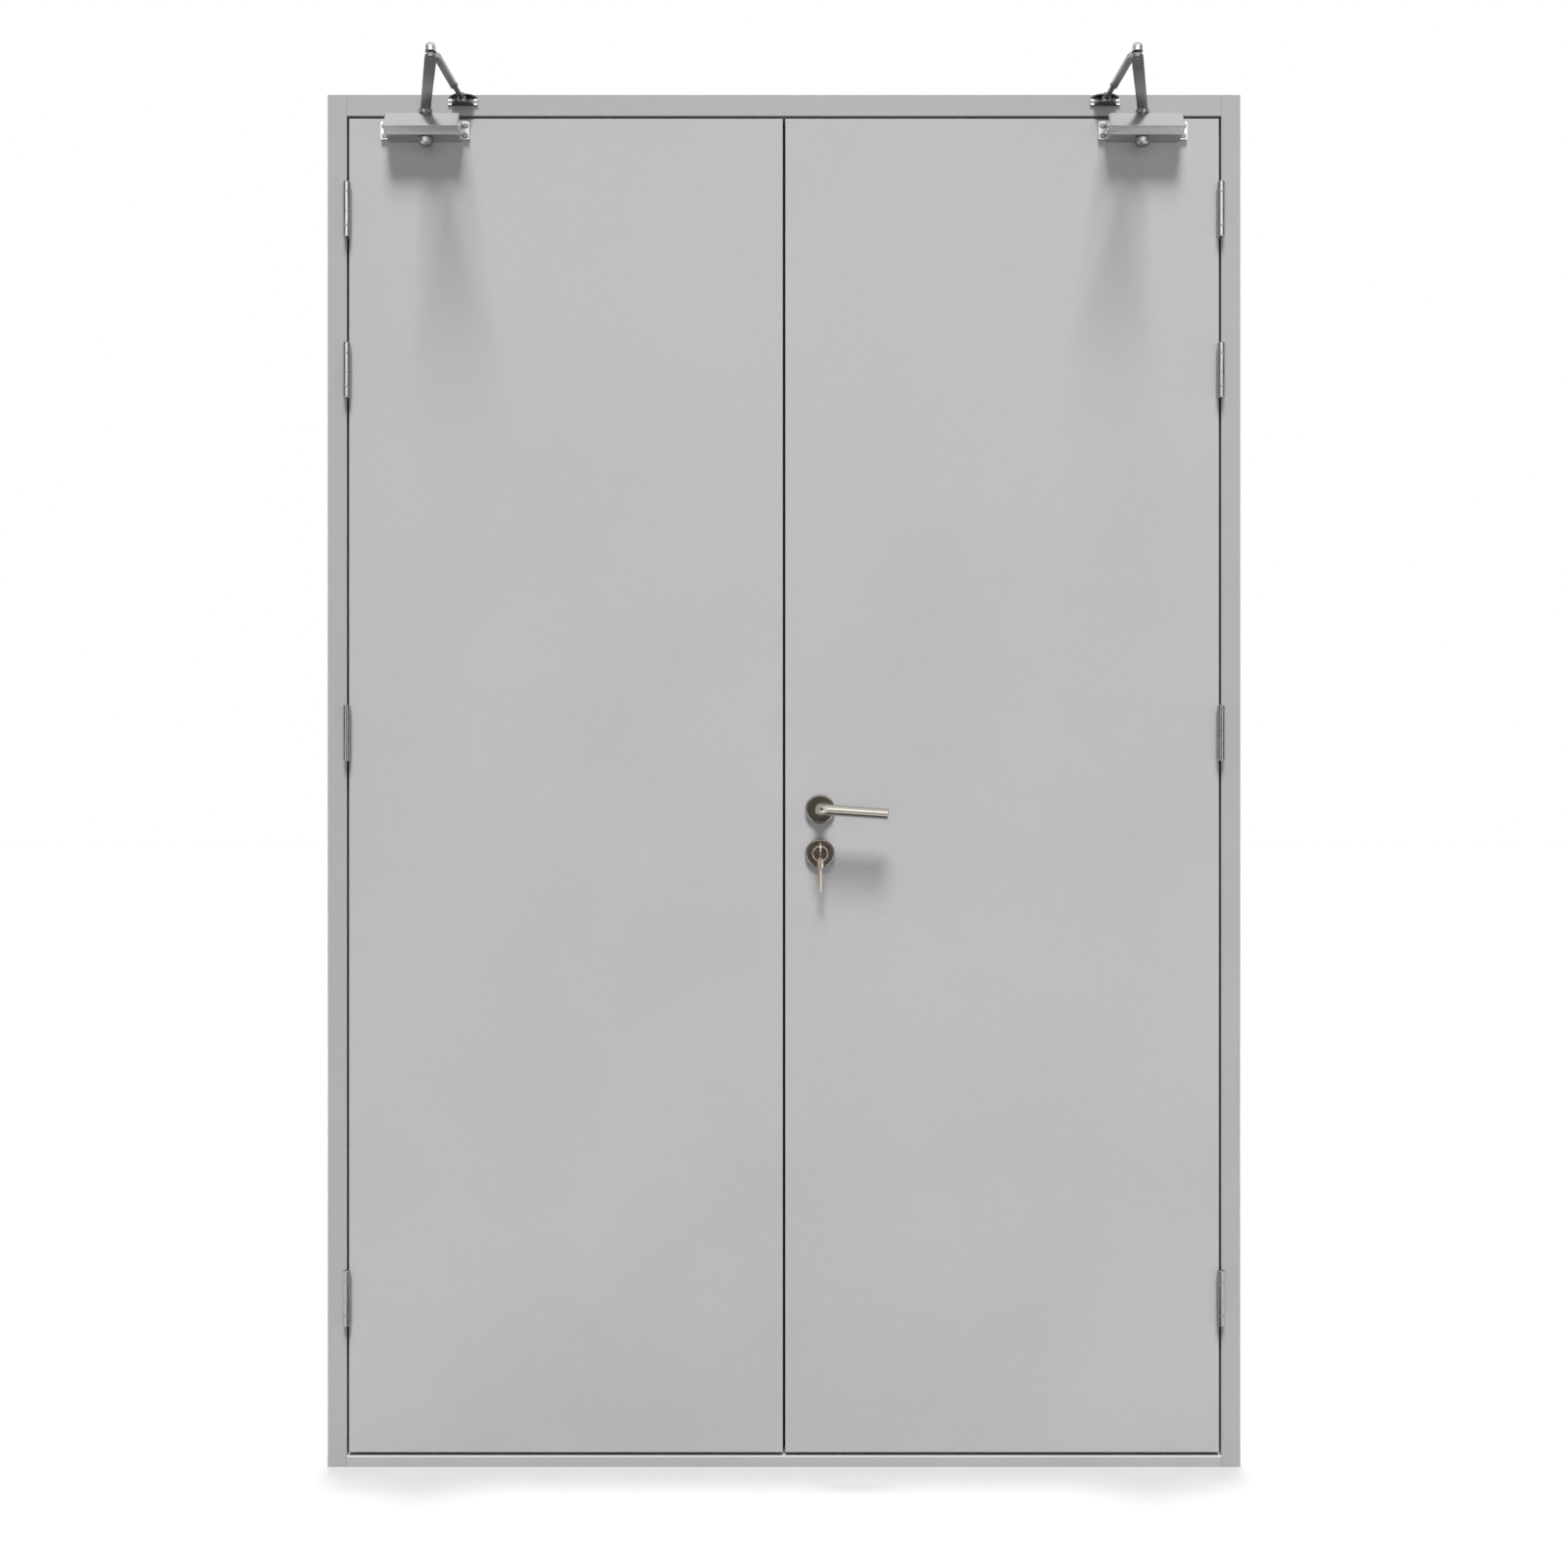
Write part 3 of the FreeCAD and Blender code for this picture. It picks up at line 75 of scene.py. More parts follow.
def linear(code):
    """An sRGB hex colour as the linear values that a socket takes."""
    parts = [int(code[i:i + 2], 16) / 255 for i in (1, 3, 5)]
    return [p / 12.92 if p <= 0.04045 else ((p + 0.055) / 1.055) ** 2.4 for p in parts] + [1]


def add(tree, kind, inputs=None, **settings):
    """A node with its settings, and its inputs given as values or as sockets."""
    node = tree.nodes.new(kind)
    for name, value in settings.items():
        setattr(node, name, value)
    for name, value in (inputs or {}).items():
        if isinstance(value, bpy.types.NodeSocket):
            tree.links.new(value, node.inputs[name])
        else:
            node.inputs[name].default_value = value
    return node


def bare(finish):
    """The emptied node tree of a new material or world."""
    finish.use_nodes = True
    finish.node_tree.nodes.clear()
    return finish.node_tree


def sight(tree):
    """1 for what the camera, a mirror or a glass sees, and 0 for what only lights."""
    ray = add(tree, "ShaderNodeLightPath").outputs
    seen = add(tree, "ShaderNodeMath", {0: ray["Is Camera Ray"], 1: ray["Is Glossy Ray"]},
               operation="ADD").outputs[0]
    return add(tree, "ShaderNodeMath", {0: seen, 1: ray["Is Transmission Ray"]},
               operation="ADD", use_clamp=True).outputs[0]


surround = bpy.data.worlds.new("surround")
scene.world = surround
tree = bare(surround)
light = add(tree, "ShaderNodeBackground", {"Color": linear("#f6f7fa"), "Strength": 0.18})
white = add(tree, "ShaderNodeBackground", {"Color": linear("#ffffff"), "Strength": 1.0})
both = add(tree, "ShaderNodeMixShader", {
    0: sight(tree), 1: light.outputs[0], 2: white.outputs[0]})
add(tree, "ShaderNodeOutputWorld", {"Surface": both.outputs[0]})

# The floor looks paler than the light that it throws back, which keeps the
# undersides of the closers dark.
mesh = bpy.data.meshes.new("floor")
mesh.from_pydata([(-30, -30, 0), (30, -30, 0), (30, 30, 0), (-30, 30, 0)], [], [(0, 1, 2, 3)])
floor = bpy.data.objects.new("floor", mesh)
scene.collection.objects.link(floor)
finish = bpy.data.materials.new("matt_white_floor")
tree = bare(finish)
seen = sight(tree)
lift = add(tree, "ShaderNodeMath", {0: seen, 1: 0.03}, operation="MULTIPLY")
tone = add(tree, "ShaderNodeMix", {0: seen, 6: linear("#646464"), 7: linear("#b4b4b4")},
           data_type="RGBA")
matt = add(tree, "ShaderNodeBsdfDiffuse", {"Color": tone.outputs[2]})
glow = add(tree, "ShaderNodeEmission", {"Color": linear("#ffffff"), "Strength": lift.outputs[0]})
both = add(tree, "ShaderNodeAddShader", {0: matt.outputs[0], 1: glow.outputs[0]})
add(tree, "ShaderNodeOutputMaterial", {"Surface": both.outputs[0]})
mesh.materials.append(finish)
floor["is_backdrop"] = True


# What the metals mirror: dark cards behind the camera, beside it and on the
# floor, and a big white diffuser high behind it. Only reflections see them.
def card(name, corners, code, glow):
    """A four-cornered card, in metres, that is seen in glossy reflections alone."""
    mesh = bpy.data.meshes.new(name)
    mesh.from_pydata(corners, [], [(0, 1, 2, 3)])
    board = bpy.data.objects.new(name, mesh)
    scene.collection.objects.link(board)
    finish = bpy.data.materials.new(name)
    tree = bare(finish)
    matt = add(tree, "ShaderNodeBsdfDiffuse", {"Color": linear(code)})
    light = add(tree, "ShaderNodeEmission", {"Color": linear(code), "Strength": glow})
    both = add(tree, "ShaderNodeAddShader", {0: matt.outputs[0], 1: light.outputs[0]})
    add(tree, "ShaderNodeOutputMaterial", {"Surface": both.outputs[0]})
    mesh.materials.append(finish)
    board.visible_camera = False
    board.visible_diffuse = False
    board.visible_shadow = False
    board.visible_transmission = False
    board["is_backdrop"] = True


for name, first, last, low, high, code, glow in (
    ("front_flag", (-0.75, -3.2), (0.75, -3.2), 0.3, 1.7, "#202022", 0.0),
    ("left_high_flag", (-1.4, -3.2), (-0.75, -3.2), 1.2, 2.4, "#202022", 0.0),
    ("right_high_flag", (0.75, -3.2), (1.4, -3.2), 1.2, 2.4, "#202022", 0.0),
    ("diffuser", (-3.0, -7), (3.0, -7), 3.0, 6.4, "#ffffff", 2.2),
    ("left_flag", (-5.2, -0.6), (-4.6, -3.9), 0.0, 5.0, "#2f2f31", 0.0),
    ("right_flag", (4.6, -3.9), (5.2, -0.6), 0.0, 5.0, "#2f2f31", 0.0),
):
    card(name, [(*first, high), (*last, high), (*last, low), (*first, low)], code, glow)
card("floor_flag", [(-0.55, -1.3, 0.003), (0.55, -1.3, 0.003),
                    (0.55, -0.12, 0.003), (-0.55, -0.12, 0.003)], "#1c1c1d", 0.0)


# The lamps: a soft key light that comes down at 63 degrees from in front, and
# area lamps that lift the foot, the sides and the back of the door.
def hang(name, kind, power):
    """A lamp that lights the scene and isn't mirrored in the metals."""
    lamp = bpy.data.objects.new(name, bpy.data.lights.new(name, kind))
    lamp.data.energy = power
    lamp.visible_glossy = False
    scene.collection.objects.link(lamp)
    return lamp


key_lamp = hang("key_lamp", "SUN", 4.3)
key_lamp.data.angle = math.radians(18)
key_lamp.rotation_euler = (math.radians(90 - 63), 0, 0)

# A narrow sun, nearly overhead, lights the floor alone. It draws the thin
# shadow in front of the threshold.
top_lamp = hang("top_lamp", "SUN", 2.7)
top_lamp.data.angle = math.radians(4)
top_lamp.rotation_euler = (math.radians(-2.6), 0, 0)
ground = bpy.data.collections.new("ground")
ground.objects.link(floor)
top_lamp.light_linking.receiver_collection = ground

for name, place, aim, size, power in (
    ("low_lamp", (0.25, -4.2, 0.4), (0, 0, 0.2), 2.2, 18),
    ("right_lamp", (3.4, -3.2, 2.3), (0.4, 0, 1.4), 2.2, 13),
    ("left_side_lamp", (-4.5, 0.6, 1.4), (0, 0.05, 1.1), 2.5, 45),
    ("right_side_lamp", (4.5, 0.6, 1.4), (0, 0.05, 1.1), 2.5, 45),
    ("back_lamp", (0, 4.8, 1.6), (0, 0, 1.1), 3.0, 90),
):
    lamp = hang(name, "AREA", power)
    lamp.data.size = size
    lamp.location = place
    lamp.rotation_euler = (Vector(aim) - Vector(place)).to_track_quat("-Z", "Y").to_euler()


# The frame: jambs and head of folded 2 mm sheet, welded at the corners, the
# welds ground flush, then powder coated light grey.
MM = 0.001
FACE = -50


def powder_coat(name, code, cloud_mm, peel_mm):
    """Polyester powder, baked on: satin, faintly cloudy, with a fine orange peel."""
    finish = bpy.data.materials.new(name)
    tree = bare(finish)
    place = add(tree, "ShaderNodeTexCoord").outputs["Object"]
    cloud = add(tree, "ShaderNodeTexNoise", {
        "Vector": place, "Scale": 1000 / cloud_mm, "Detail": 3.0}).outputs[0]
    peel = add(tree, "ShaderNodeTexNoise", {
        "Vector": place, "Scale": 1000 / peel_mm, "Detail": 2.0}).outputs[0]
    drift = add(tree, "ShaderNodeMapRange", {0: cloud, 1: 0.3, 2: 0.7, 3: 0.968, 4: 1.032})
    grain = add(tree, "ShaderNodeMapRange", {0: peel, 1: 0.3, 2: 0.7, 3: 0.985, 4: 1.015})
    shade = add(tree, "ShaderNodeMath", {0: drift.outputs[0], 1: grain.outputs[0]},
                operation="MULTIPLY")
    tint = add(tree, "ShaderNodeMix", {0: 1.0, 6: linear(code), 7: shade.outputs[0]},
               data_type="RGBA", blend_type="MULTIPLY")
    sheen = add(tree, "ShaderNodeMapRange", {0: cloud, 1: 0.3, 2: 0.7, 3: 0.42, 4: 0.52})
    relief = add(tree, "ShaderNodeBump", {
        "Height": peel, "Strength": 0.35, "Distance": 0.25 * MM})
    shader = add(tree, "ShaderNodeBsdfPrincipled", {
        "Base Color": tint.outputs[2], "Roughness": sheen.outputs[0],
        "Normal": relief.outputs[0], "IOR": 1.5})
    add(tree, "ShaderNodeOutputMaterial", {"Surface": shader.outputs[0]})
    return finish


def wear(finish, *names):
    """Gives CAD nodes that finish."""
    for name in names:
        for slot in nodes[name].material_slots:
            slot.material = finish


def evaluated(rough):
    """The mesh that an object's modifiers make, in place of the object."""
    graph = bpy.context.evaluated_depsgraph_get()
    mesh = bpy.data.meshes.new_from_object(rough.evaluated_get(graph))
    bpy.data.objects.remove(rough)
    return mesh


def smoothed(mesh, degrees=32):
    """Smooth shading, except across sharper edges, with flat faces kept flat."""
    mesh.polygons.foreach_set("use_smooth", [True] * len(mesh.polygons))
    mesh.set_sharp_from_angle(angle=math.radians(degrees))
    rough = bpy.data.objects.new("rough", mesh)
    scene.collection.objects.link(rough)
    weigh = rough.modifiers.new("weigh", "WEIGHTED_NORMAL")
    weigh.keep_sharp = True
    return evaluated(rough)


def piece(name, mesh, finish, body, slot, *replaced):
    """A piece of that mesh, in its finish, on its body, in place of the named CAD nodes."""
    made = bpy.data.objects.new(name, mesh)
    scene.collection.objects.link(made)
    mesh.name = name
    mesh.materials.clear()
    mesh.materials.append(finish)
    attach(made, body)
    if replaced:
        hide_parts(*replaced)
    return made


def formed(name, build):
    """The mesh of what was built, which is then let go."""
    mesh = bpy.data.meshes.new(name)
    build.to_mesh(mesh)
    build.free()
    return mesh


def slabs(name, boxes, ease, finish, body, slot, *replaced):
    """Blocks in millimetres, each from its low to its high corner, with eased edges."""
    build = bmesh.new()
    for low, high in boxes:
        low, high = Vector(low) * MM, Vector(high) * MM
        place = Matrix.LocRotScale((low + high) / 2, None, high - low)
        bmesh.ops.create_cube(build, size=1, matrix=place)
    bmesh.ops.bevel(build, geom=build.edges[:], offset=ease * MM, segments=2, profile=0.5,
                    affect="EDGES", clamp_overlap=True)
    return piece(name, smoothed(formed(name, build)), finish, body, slot, *replaced)


# A satin coat: even light grey, softly bright where it faces a lamp. Its peel
# is about 1.5 mm across on a real door, drawn at 6 mm so that it shows.
frame_coat = powder_coat("powder_coated_steel_frame", "#b0b0b2", 260, 6)
wear(frame_coat, "left_jamb", "right_jamb", "frame_head")

# A ground weld shows through the coat as a slightly darker hair line, where the
# head and the threshold meet the jambs.
weld_coat = powder_coat("powder_coat_over_weld", "#97979a", 40, 4)
JAMB_INSIDE, HEAD_WELD, SILL_WELD = 714, (2207, 2239.6), (0.6, 16)
slabs("frame_welds", [
    ((x - 0.4, FACE - 0.12, low), (x + 0.4, FACE + 0.3, high))
    for x in (-JAMB_INSIDE, JAMB_INSIDE) for low, high in (HEAD_WELD, SILL_WELD)
], 0.1, weld_coat, "frame", "frame_paint")


# The threshold: a hollow steel profile between the jambs, powder coated like
# the frame, with five screws through its top.

# The same satin coat, drawn a shade lighter: painted light on the threshold.
sill_coat_painted_lighter = powder_coat("powder_coat_painted_lighter_on_sill", "#b6b6b8", 200, 6)
wear(sill_coat_painted_lighter, "threshold")


# Real grinding lines are about a tenth of a millimetre apart. Here and on every
# metal below they are drawn coarser, so that they show.
def ground_metal(name, code, roughness, line_mm, along, contrast=0.05, depth_mm=0.02):
    """Metal with fine grinding lines along one axis, which spread the gloss across them."""
    finish = bpy.data.materials.new(name)
    tree = bare(finish)
    scale = [1000 / line_mm] * 3
    scale["xyz".index(along)] = 1000 / line_mm / 40
    place = add(tree, "ShaderNodeTexCoord").outputs["Object"]
    place = add(tree, "ShaderNodeMapping", {"Vector": place, "Scale": scale}).outputs[0]
    lines = add(tree, "ShaderNodeTexNoise", {
        "Vector": place, "Scale": 1.0, "Detail": 3.0}).outputs[0]
    shade = add(tree, "ShaderNodeMapRange", {
        0: lines, 1: 0.3, 2: 0.7, 3: 1 - contrast, 4: 1 + contrast})
    tint = add(tree, "ShaderNodeMix", {0: 1.0, 6: linear(code), 7: shade.outputs[0]},
               data_type="RGBA", blend_type="MULTIPLY")
    gloss = add(tree, "ShaderNodeMapRange", {
        0: lines, 1: 0.3, 2: 0.7, 3: roughness - 0.05, 4: roughness + 0.05})
    relief = add(tree, "ShaderNodeBump", {
        "Height": lines, "Strength": 0.3, "Distance": depth_mm * MM})
    shader = add(tree, "ShaderNodeBsdfPrincipled", {
        "Base Color": tint.outputs[2], "Metallic": 1.0, "Roughness": gloss.outputs[0],
        "Normal": relief.outputs[0]})
    add(tree, "ShaderNodeOutputMaterial", {"Surface": shader.outputs[0]})
    return finish


def screw_tree():
    """A domed head with its drive cut in, set at every point at a random turn."""
    tree = bpy.data.node_groups.new("screw_heads", "GeometryNodeTree")
    face = tree.interface
    for name, kind in (
        ("Geometry", "Geometry"), ("Radius", "Float"), ("Height", "Float"), ("Recess", "Float"),
        ("Drive", "Int"), ("Facing", "Vector"), ("Finish", "Material"),
    ):
        face.new_socket(name, in_out="INPUT", socket_type="NodeSocket" + kind)
    face.new_socket("Geometry", in_out="OUTPUT", socket_type="NodeSocketGeometry")
    given = add(tree, "NodeGroupInput").outputs
    radius, height, recess = given["Radius"], given["Height"], given["Recess"]

    def maths(operation, first, second):
        return add(tree, "ShaderNodeMath", {0: first, 1: second}, operation=operation).outputs[0]

    def vector(x, y, z):
        return add(tree, "ShaderNodeCombineXYZ", {0: x, 1: y, 2: z}).outputs[0]

    # The head: a cylinder that narrows towards its top, by a fifth at the rim.
    turned = add(tree, "GeometryNodeMeshCylinder", {
        "Vertices": 28, "Side Segments": 6, "Radius": radius, "Depth": height}).outputs[0]
    seated = add(tree, "GeometryNodeTransform", {
        "Geometry": turned,
        "Translation": vector(0.0, 0.0, maths("MULTIPLY", height, 0.5))}).outputs[0]
    here = add(tree, "GeometryNodeInputPosition").outputs[0]
    spot = add(tree, "ShaderNodeSeparateXYZ", {0: here}).outputs
    rise = maths("POWER", maths("DIVIDE", spot[2], height), 4.0)
    waist = maths("SUBTRACT", 1.0, maths("MULTIPLY", rise, 0.2))
    domed = add(tree, "GeometryNodeSetPosition", {
        "Geometry": seated,
        "Position": vector(maths("MULTIPLY", spot[0], waist),
                           maths("MULTIPLY", spot[1], waist), spot[2]),
    }).outputs[0]

    # The drive: nothing, a slot, a cross or a hexagon, as deep as the recess.
    twice = maths("MULTIPLY", recess, 2.0)
    blade = add(tree, "GeometryNodeMeshCube", {
        "Size": vector(maths("MULTIPLY", radius, 2.4),
                       maths("MULTIPLY", radius, 0.26), twice)}).outputs[0]
    arm = vector(maths("MULTIPLY", radius, 1.15), maths("MULTIPLY", radius, 0.24), twice)
    across = add(tree, "GeometryNodeMeshCube", {"Size": arm}).outputs[0]
    upright = add(tree, "GeometryNodeTransform", {
        "Geometry": across, "Rotation": (0, 0, math.pi / 2)}).outputs[0]
    cross = add(tree, "GeometryNodeMeshBoolean", {"Mesh 2": across}, operation="UNION")
    tree.links.new(upright, cross.inputs["Mesh 2"])
    socket = add(tree, "GeometryNodeMeshCylinder", {
        "Vertices": 6, "Radius": maths("MULTIPLY", radius, 0.52), "Depth": twice}).outputs[0]
    choice = add(tree, "GeometryNodeIndexSwitch", data_type="GEOMETRY")
    while len(choice.index_switch_items) < 4:
        choice.index_switch_items.new()
    tree.links.new(given["Drive"], choice.inputs["Index"])
    for index, cutter in ((1, blade), (2, cross.outputs[0]), (3, socket)):
        tree.links.new(cutter, choice.inputs[index + 1])
    cutter = add(tree, "GeometryNodeTransform", {
        "Geometry": choice.outputs[0], "Translation": vector(0.0, 0.0, height)}).outputs[0]
    head = add(tree, "GeometryNodeMeshBoolean", {"Mesh 1": domed, "Mesh 2": cutter},
               operation="DIFFERENCE").outputs[0]

    # A head on every point, facing outwards, each driven home to its own turn.
    chance = add(tree, "FunctionNodeRandomValue", {
        "Min": vector(0.0, 0.0, 0.0), "Max": vector(0.0, 0.0, math.tau), "Seed": 7},
        data_type="FLOAT_VECTOR").outputs[0]
    spin = add(tree, "FunctionNodeEulerToRotation", {0: chance}).outputs[0]
    aimed = add(tree, "FunctionNodeAlignRotationToVector", {"Vector": given["Facing"]},
                axis="Z").outputs[0]
    turn = add(tree, "FunctionNodeRotateRotation", {"Rotation": aimed, "Rotate By": spin},
               rotation_space="LOCAL").outputs[0]
    set_in = add(tree, "GeometryNodeInstanceOnPoints", {
        "Points": given["Geometry"], "Instance": head, "Rotation": turn}).outputs[0]
    real = add(tree, "GeometryNodeRealizeInstances", {"Geometry": set_in}).outputs[0]
    coated = add(tree, "GeometryNodeSetMaterial", {
        "Geometry": real, "Material": given["Finish"]}).outputs[0]
    add(tree, "NodeGroupOutput", {"Geometry": coated})
    return tree


screw_heads = screw_tree()
NO_DRIVE, SLOT, CROSS, HEXAGON = range(4)
DOWN, UP, OUTWARDS = (0, 0, -1), (0, 0, 1), (0, -1, 0)


def screws(name, places, facing, radius, height, drive, recess, finish, body, slot):
    """Heads in millimetres at those places, on a surface that faces that way."""
    seats = bpy.data.meshes.new(name)
    seats.from_pydata([Vector(place) * MM for place in places], [], [])
    rough = bpy.data.objects.new(name + "_seats", seats)
    scene.collection.objects.link(rough)
    heads = rough.modifiers.new("heads", "NODES")
    heads.node_group = screw_heads
    values = {"Radius": radius * MM, "Height": height * MM, "Recess": recess * MM,
              "Drive": drive, "Facing": facing, "Finish": finish}
    for item in screw_heads.interface.items_tree:
        if item.in_out == "INPUT" and item.name in values:
            heads[item.identifier] = values[item.name]
    return piece(name, smoothed(evaluated(rough)), finish, body, slot)


# Zinc plate: a pale, slightly rough gleam with faint lines across it.
zinc_screw = ground_metal("zinc_plated_screw_steel", "#a8a7a4", 0.3, 0.6, "x", 0.06)
SILL_MIDDLE, SILL_TOP = -34, 18
screws("threshold_screws", [(x, SILL_MIDDLE, SILL_TOP) for x in (-640, -320, 0, 320, 640)], UP,
       4.2, 0.6, CROSS, 0.5, zinc_screw, "frame", "sill_steel")


# The seals: black EPDM rubber, extruded, in the frame's rebate and in the
# leaves' meeting edge.

# Nearly black and matt. Thin dust lifts it here and there.
rubber = bpy.data.materials.new("extruded_epdm_rubber")
tree = bare(rubber)
place = add(tree, "ShaderNodeTexCoord").outputs["Object"]
dust = add(tree, "ShaderNodeTexNoise", {
    "Vector": place, "Scale": 1000 / 9, "Detail": 4.0}).outputs[0]
tint = add(tree, "ShaderNodeMix", {0: dust, 6: linear("#141415"), 7: linear("#26262a")},
           data_type="RGBA")
relief = add(tree, "ShaderNodeBump", {"Height": dust, "Strength": 0.3, "Distance": 0.1 * MM})
shader = add(tree, "ShaderNodeBsdfPrincipled", {
    "Base Color": tint.outputs[2], "Roughness": 0.75, "Normal": relief.outputs[0]})
add(tree, "ShaderNodeOutputMaterial", {"Surface": shader.outputs[0]})
wear(rubber, "frame_seal", "meeting_seal")

# A second strip on the right leaf, behind the first, keeps daylight out of the gap.
low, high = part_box("meeting_seal")
COUNTER_NEAR, COUNTER_FAR = (0.7, FACE + 19.6), (3.4, FACE + 24.6)
slabs("meeting_seal_counter",
      [((*COUNTER_NEAR, low.z / MM), (*COUNTER_FAR, high.z / MM))],
      0.3, rubber, "right_leaf", "seal_rubber")


# The leaves: two folded skins of 1.5 mm steel over a board core, powder coated
# light grey.

# The frame's satin coat, paler, with wider clouds on its big flat faces.
leaf_coat = powder_coat("powder_coated_steel_leaf", "#bcbcbe", 320, 6)
for side in ("left", "right"):
    wear(leaf_coat, side + "_leaf_front_skin", side + "_leaf_back_skin")

# Paper board: dull brown, flecked with its fibres. The skins hide it.
board = bpy.data.materials.new("pressed_paper_board")
tree = bare(board)
place = add(tree, "ShaderNodeTexCoord").outputs["Object"]
fibre = add(tree, "ShaderNodeTexNoise", {
    "Vector": place, "Scale": 1000 / 3, "Detail": 5.0}).outputs[0]
tint = add(tree, "ShaderNodeMix", {0: fibre, 6: linear("#6f675a"), 7: linear("#8b8273")},
           data_type="RGBA")
relief = add(tree, "ShaderNodeBump", {"Height": fibre, "Strength": 0.4, "Distance": 0.3 * MM})
shader = add(tree, "ShaderNodeBsdfPrincipled", {
    "Base Color": tint.outputs[2], "Roughness": 0.9, "Normal": relief.outputs[0]})
add(tree, "ShaderNodeOutputMaterial", {"Surface": shader.outputs[0]})
wear(board, "left_leaf_core", "right_leaf_core")


# The hinges: lift-off barrels of zinc plated steel with flat plates. The plates
# lie in the gap beside the shut leaf, and are drawn without their screws.
def dressed(node, finish, body, slot, ease, sharp=28):
    """A finer copy of a CAD node: triangles merged, sharp edges eased, curves smooth."""
    build = bmesh.new()
    build.from_mesh(nodes[node].data)
    bmesh.ops.remove_doubles(build, verts=build.verts[:], dist=0.005 * MM)
    bmesh.ops.dissolve_limit(build, angle_limit=math.radians(0.5), verts=build.verts[:],
                             edges=build.edges[:])
    edges = [edge for edge in build.edges
             if len(edge.link_faces) == 2 and edge.calc_face_angle() > math.radians(sharp)]
    bmesh.ops.bevel(build, geom=edges, offset=ease * MM, segments=2, profile=0.5,
                    affect="EDGES", clamp_overlap=True)
    mesh = formed(node, build)
    for name in [layer.name for layer in mesh.attributes if layer.name == "custom_normal"]:
        mesh.attributes.remove(mesh.attributes[name])
    return piece(node + "_dressed", smoothed(mesh), finish, body, slot, node)


# Zinc over turned steel: upright light and dark bands on the barrels.
hinge_zinc = ground_metal("zinc_plated_hinge_steel", "#a6a6a6", 0.28, 0.8, "z", 0.03)
for side in ("left", "right"):
    for part, body in (("frame", "frame"), ("leaf", side + "_leaf")):
        dressed("%s_%s_hinges" % (side, part), hinge_zinc, body, "hinge_steel", 0.25)


# The closers: die-cast aluminium housings in silver lacquer, screwed to the
# leaves through their flanges. A pinion drives a jointed steel arm, which ends
# in a two-plate shoe on the head.

# Lacquer: smooth and silvery, with broad soft highlights along the facets.
lacquer = ground_metal("silver_lacquered_aluminium", "#c4c4c4", 0.27, 14, "x", 0.02, 0.004)
# On the steel arms it is drawn a darker grey, which is painted shade, with faint lines from
# front to back.
arm_lacquer_painted_shade = ground_metal("silver_lacquer_painted_darker_on_arms", "#848484", 0.32, 5, "y", 0.03, 0.004)
# On the pressed shoe it is darker still, painted shade for its hollow, with a gleam on the
# folds.
shoe_lacquer_painted_shade = ground_metal("silver_lacquer_painted_darker_on_shoe", "#6c6c6c", 0.27, 4, "x", 0.03, 0.004)
# Burnished steel: bare and grey, with fine upright lines.
pinion_steel = ground_metal("burnished_pinion_steel", "#a2a2a1", 0.32, 1, "z", 0.05, 0.01)
# Blasted zinc: pale and nearly matt, without a clear highlight.
cast_zinc = ground_metal("blasted_zinc_casting", "#d4d4d2", 0.55, 3, "z", 0.03, 0.004)
# Polished zinc: pale, with clear light and dark bands.
bright_zinc = ground_metal("polished_zinc_casting", "#cfcfcd", 0.26, 3, "z", 0.03, 0.004)
# Near-black: the grub screws' own blackened steel. On thin discs round screw heads, and in the
# lock's pockets and slots, it is painted shade, the dark of a hole.
black_steel_and_painted_shade = powder_coat("black_steel_and_painted_hole_shade", "#1c1c1d", 8, 2)

# Places across the door, from its middle, and out from the frame's face.
HOUSING_X, VALVE_X, PINION_X, ELBOW_X, SHOE_X, CLAMP_X = 585, 594.6, 580.8, 532.8, 524, 520.9
FLANGE_OUT, VALVE_OUT, PLUG_OUT, PINION_OUT, ELBOW_OUT, CLAMP_OUT = 6, 10, 20, 22, 222, 72
# Heights over the floor: the housing's parts, the arm's ends and the shoe's.
PINION_FOOT, VALVE_UP, FLANGE_UPS, PLUG_UP, ARM_TOP = 2148.4, 2162, (2170.9, 2186.9), 2180, 2211
ELBOW_FOOT, CONE_UP, SLEEVE_UP, ELBOW_TOP = 2209.4, 2215.9, 2222.5, 2231.8
EAR_LOW, EAR_UP, CLAMP_UP, EAR_HIGH = 2222.5, 2227.2, 2228.6, 2231.6


def elbow_turning(name, up, low_radius, high_radius, tall, finish, body, sign):
    """A turned part round the elbow's pin, its middle at that height, in millimetres."""
    build = bmesh.new()
    place = Vector((sign * ELBOW_X, FACE - ELBOW_OUT, up)) * MM
    bmesh.ops.create_cone(build, cap_ends=True, segments=64, radius1=low_radius * MM,
                          radius2=high_radius * MM, depth=tall * MM,
                          matrix=Matrix.Translation(place))
    return piece(name, smoothed(formed(name, build)), finish, body, "closer_steel")


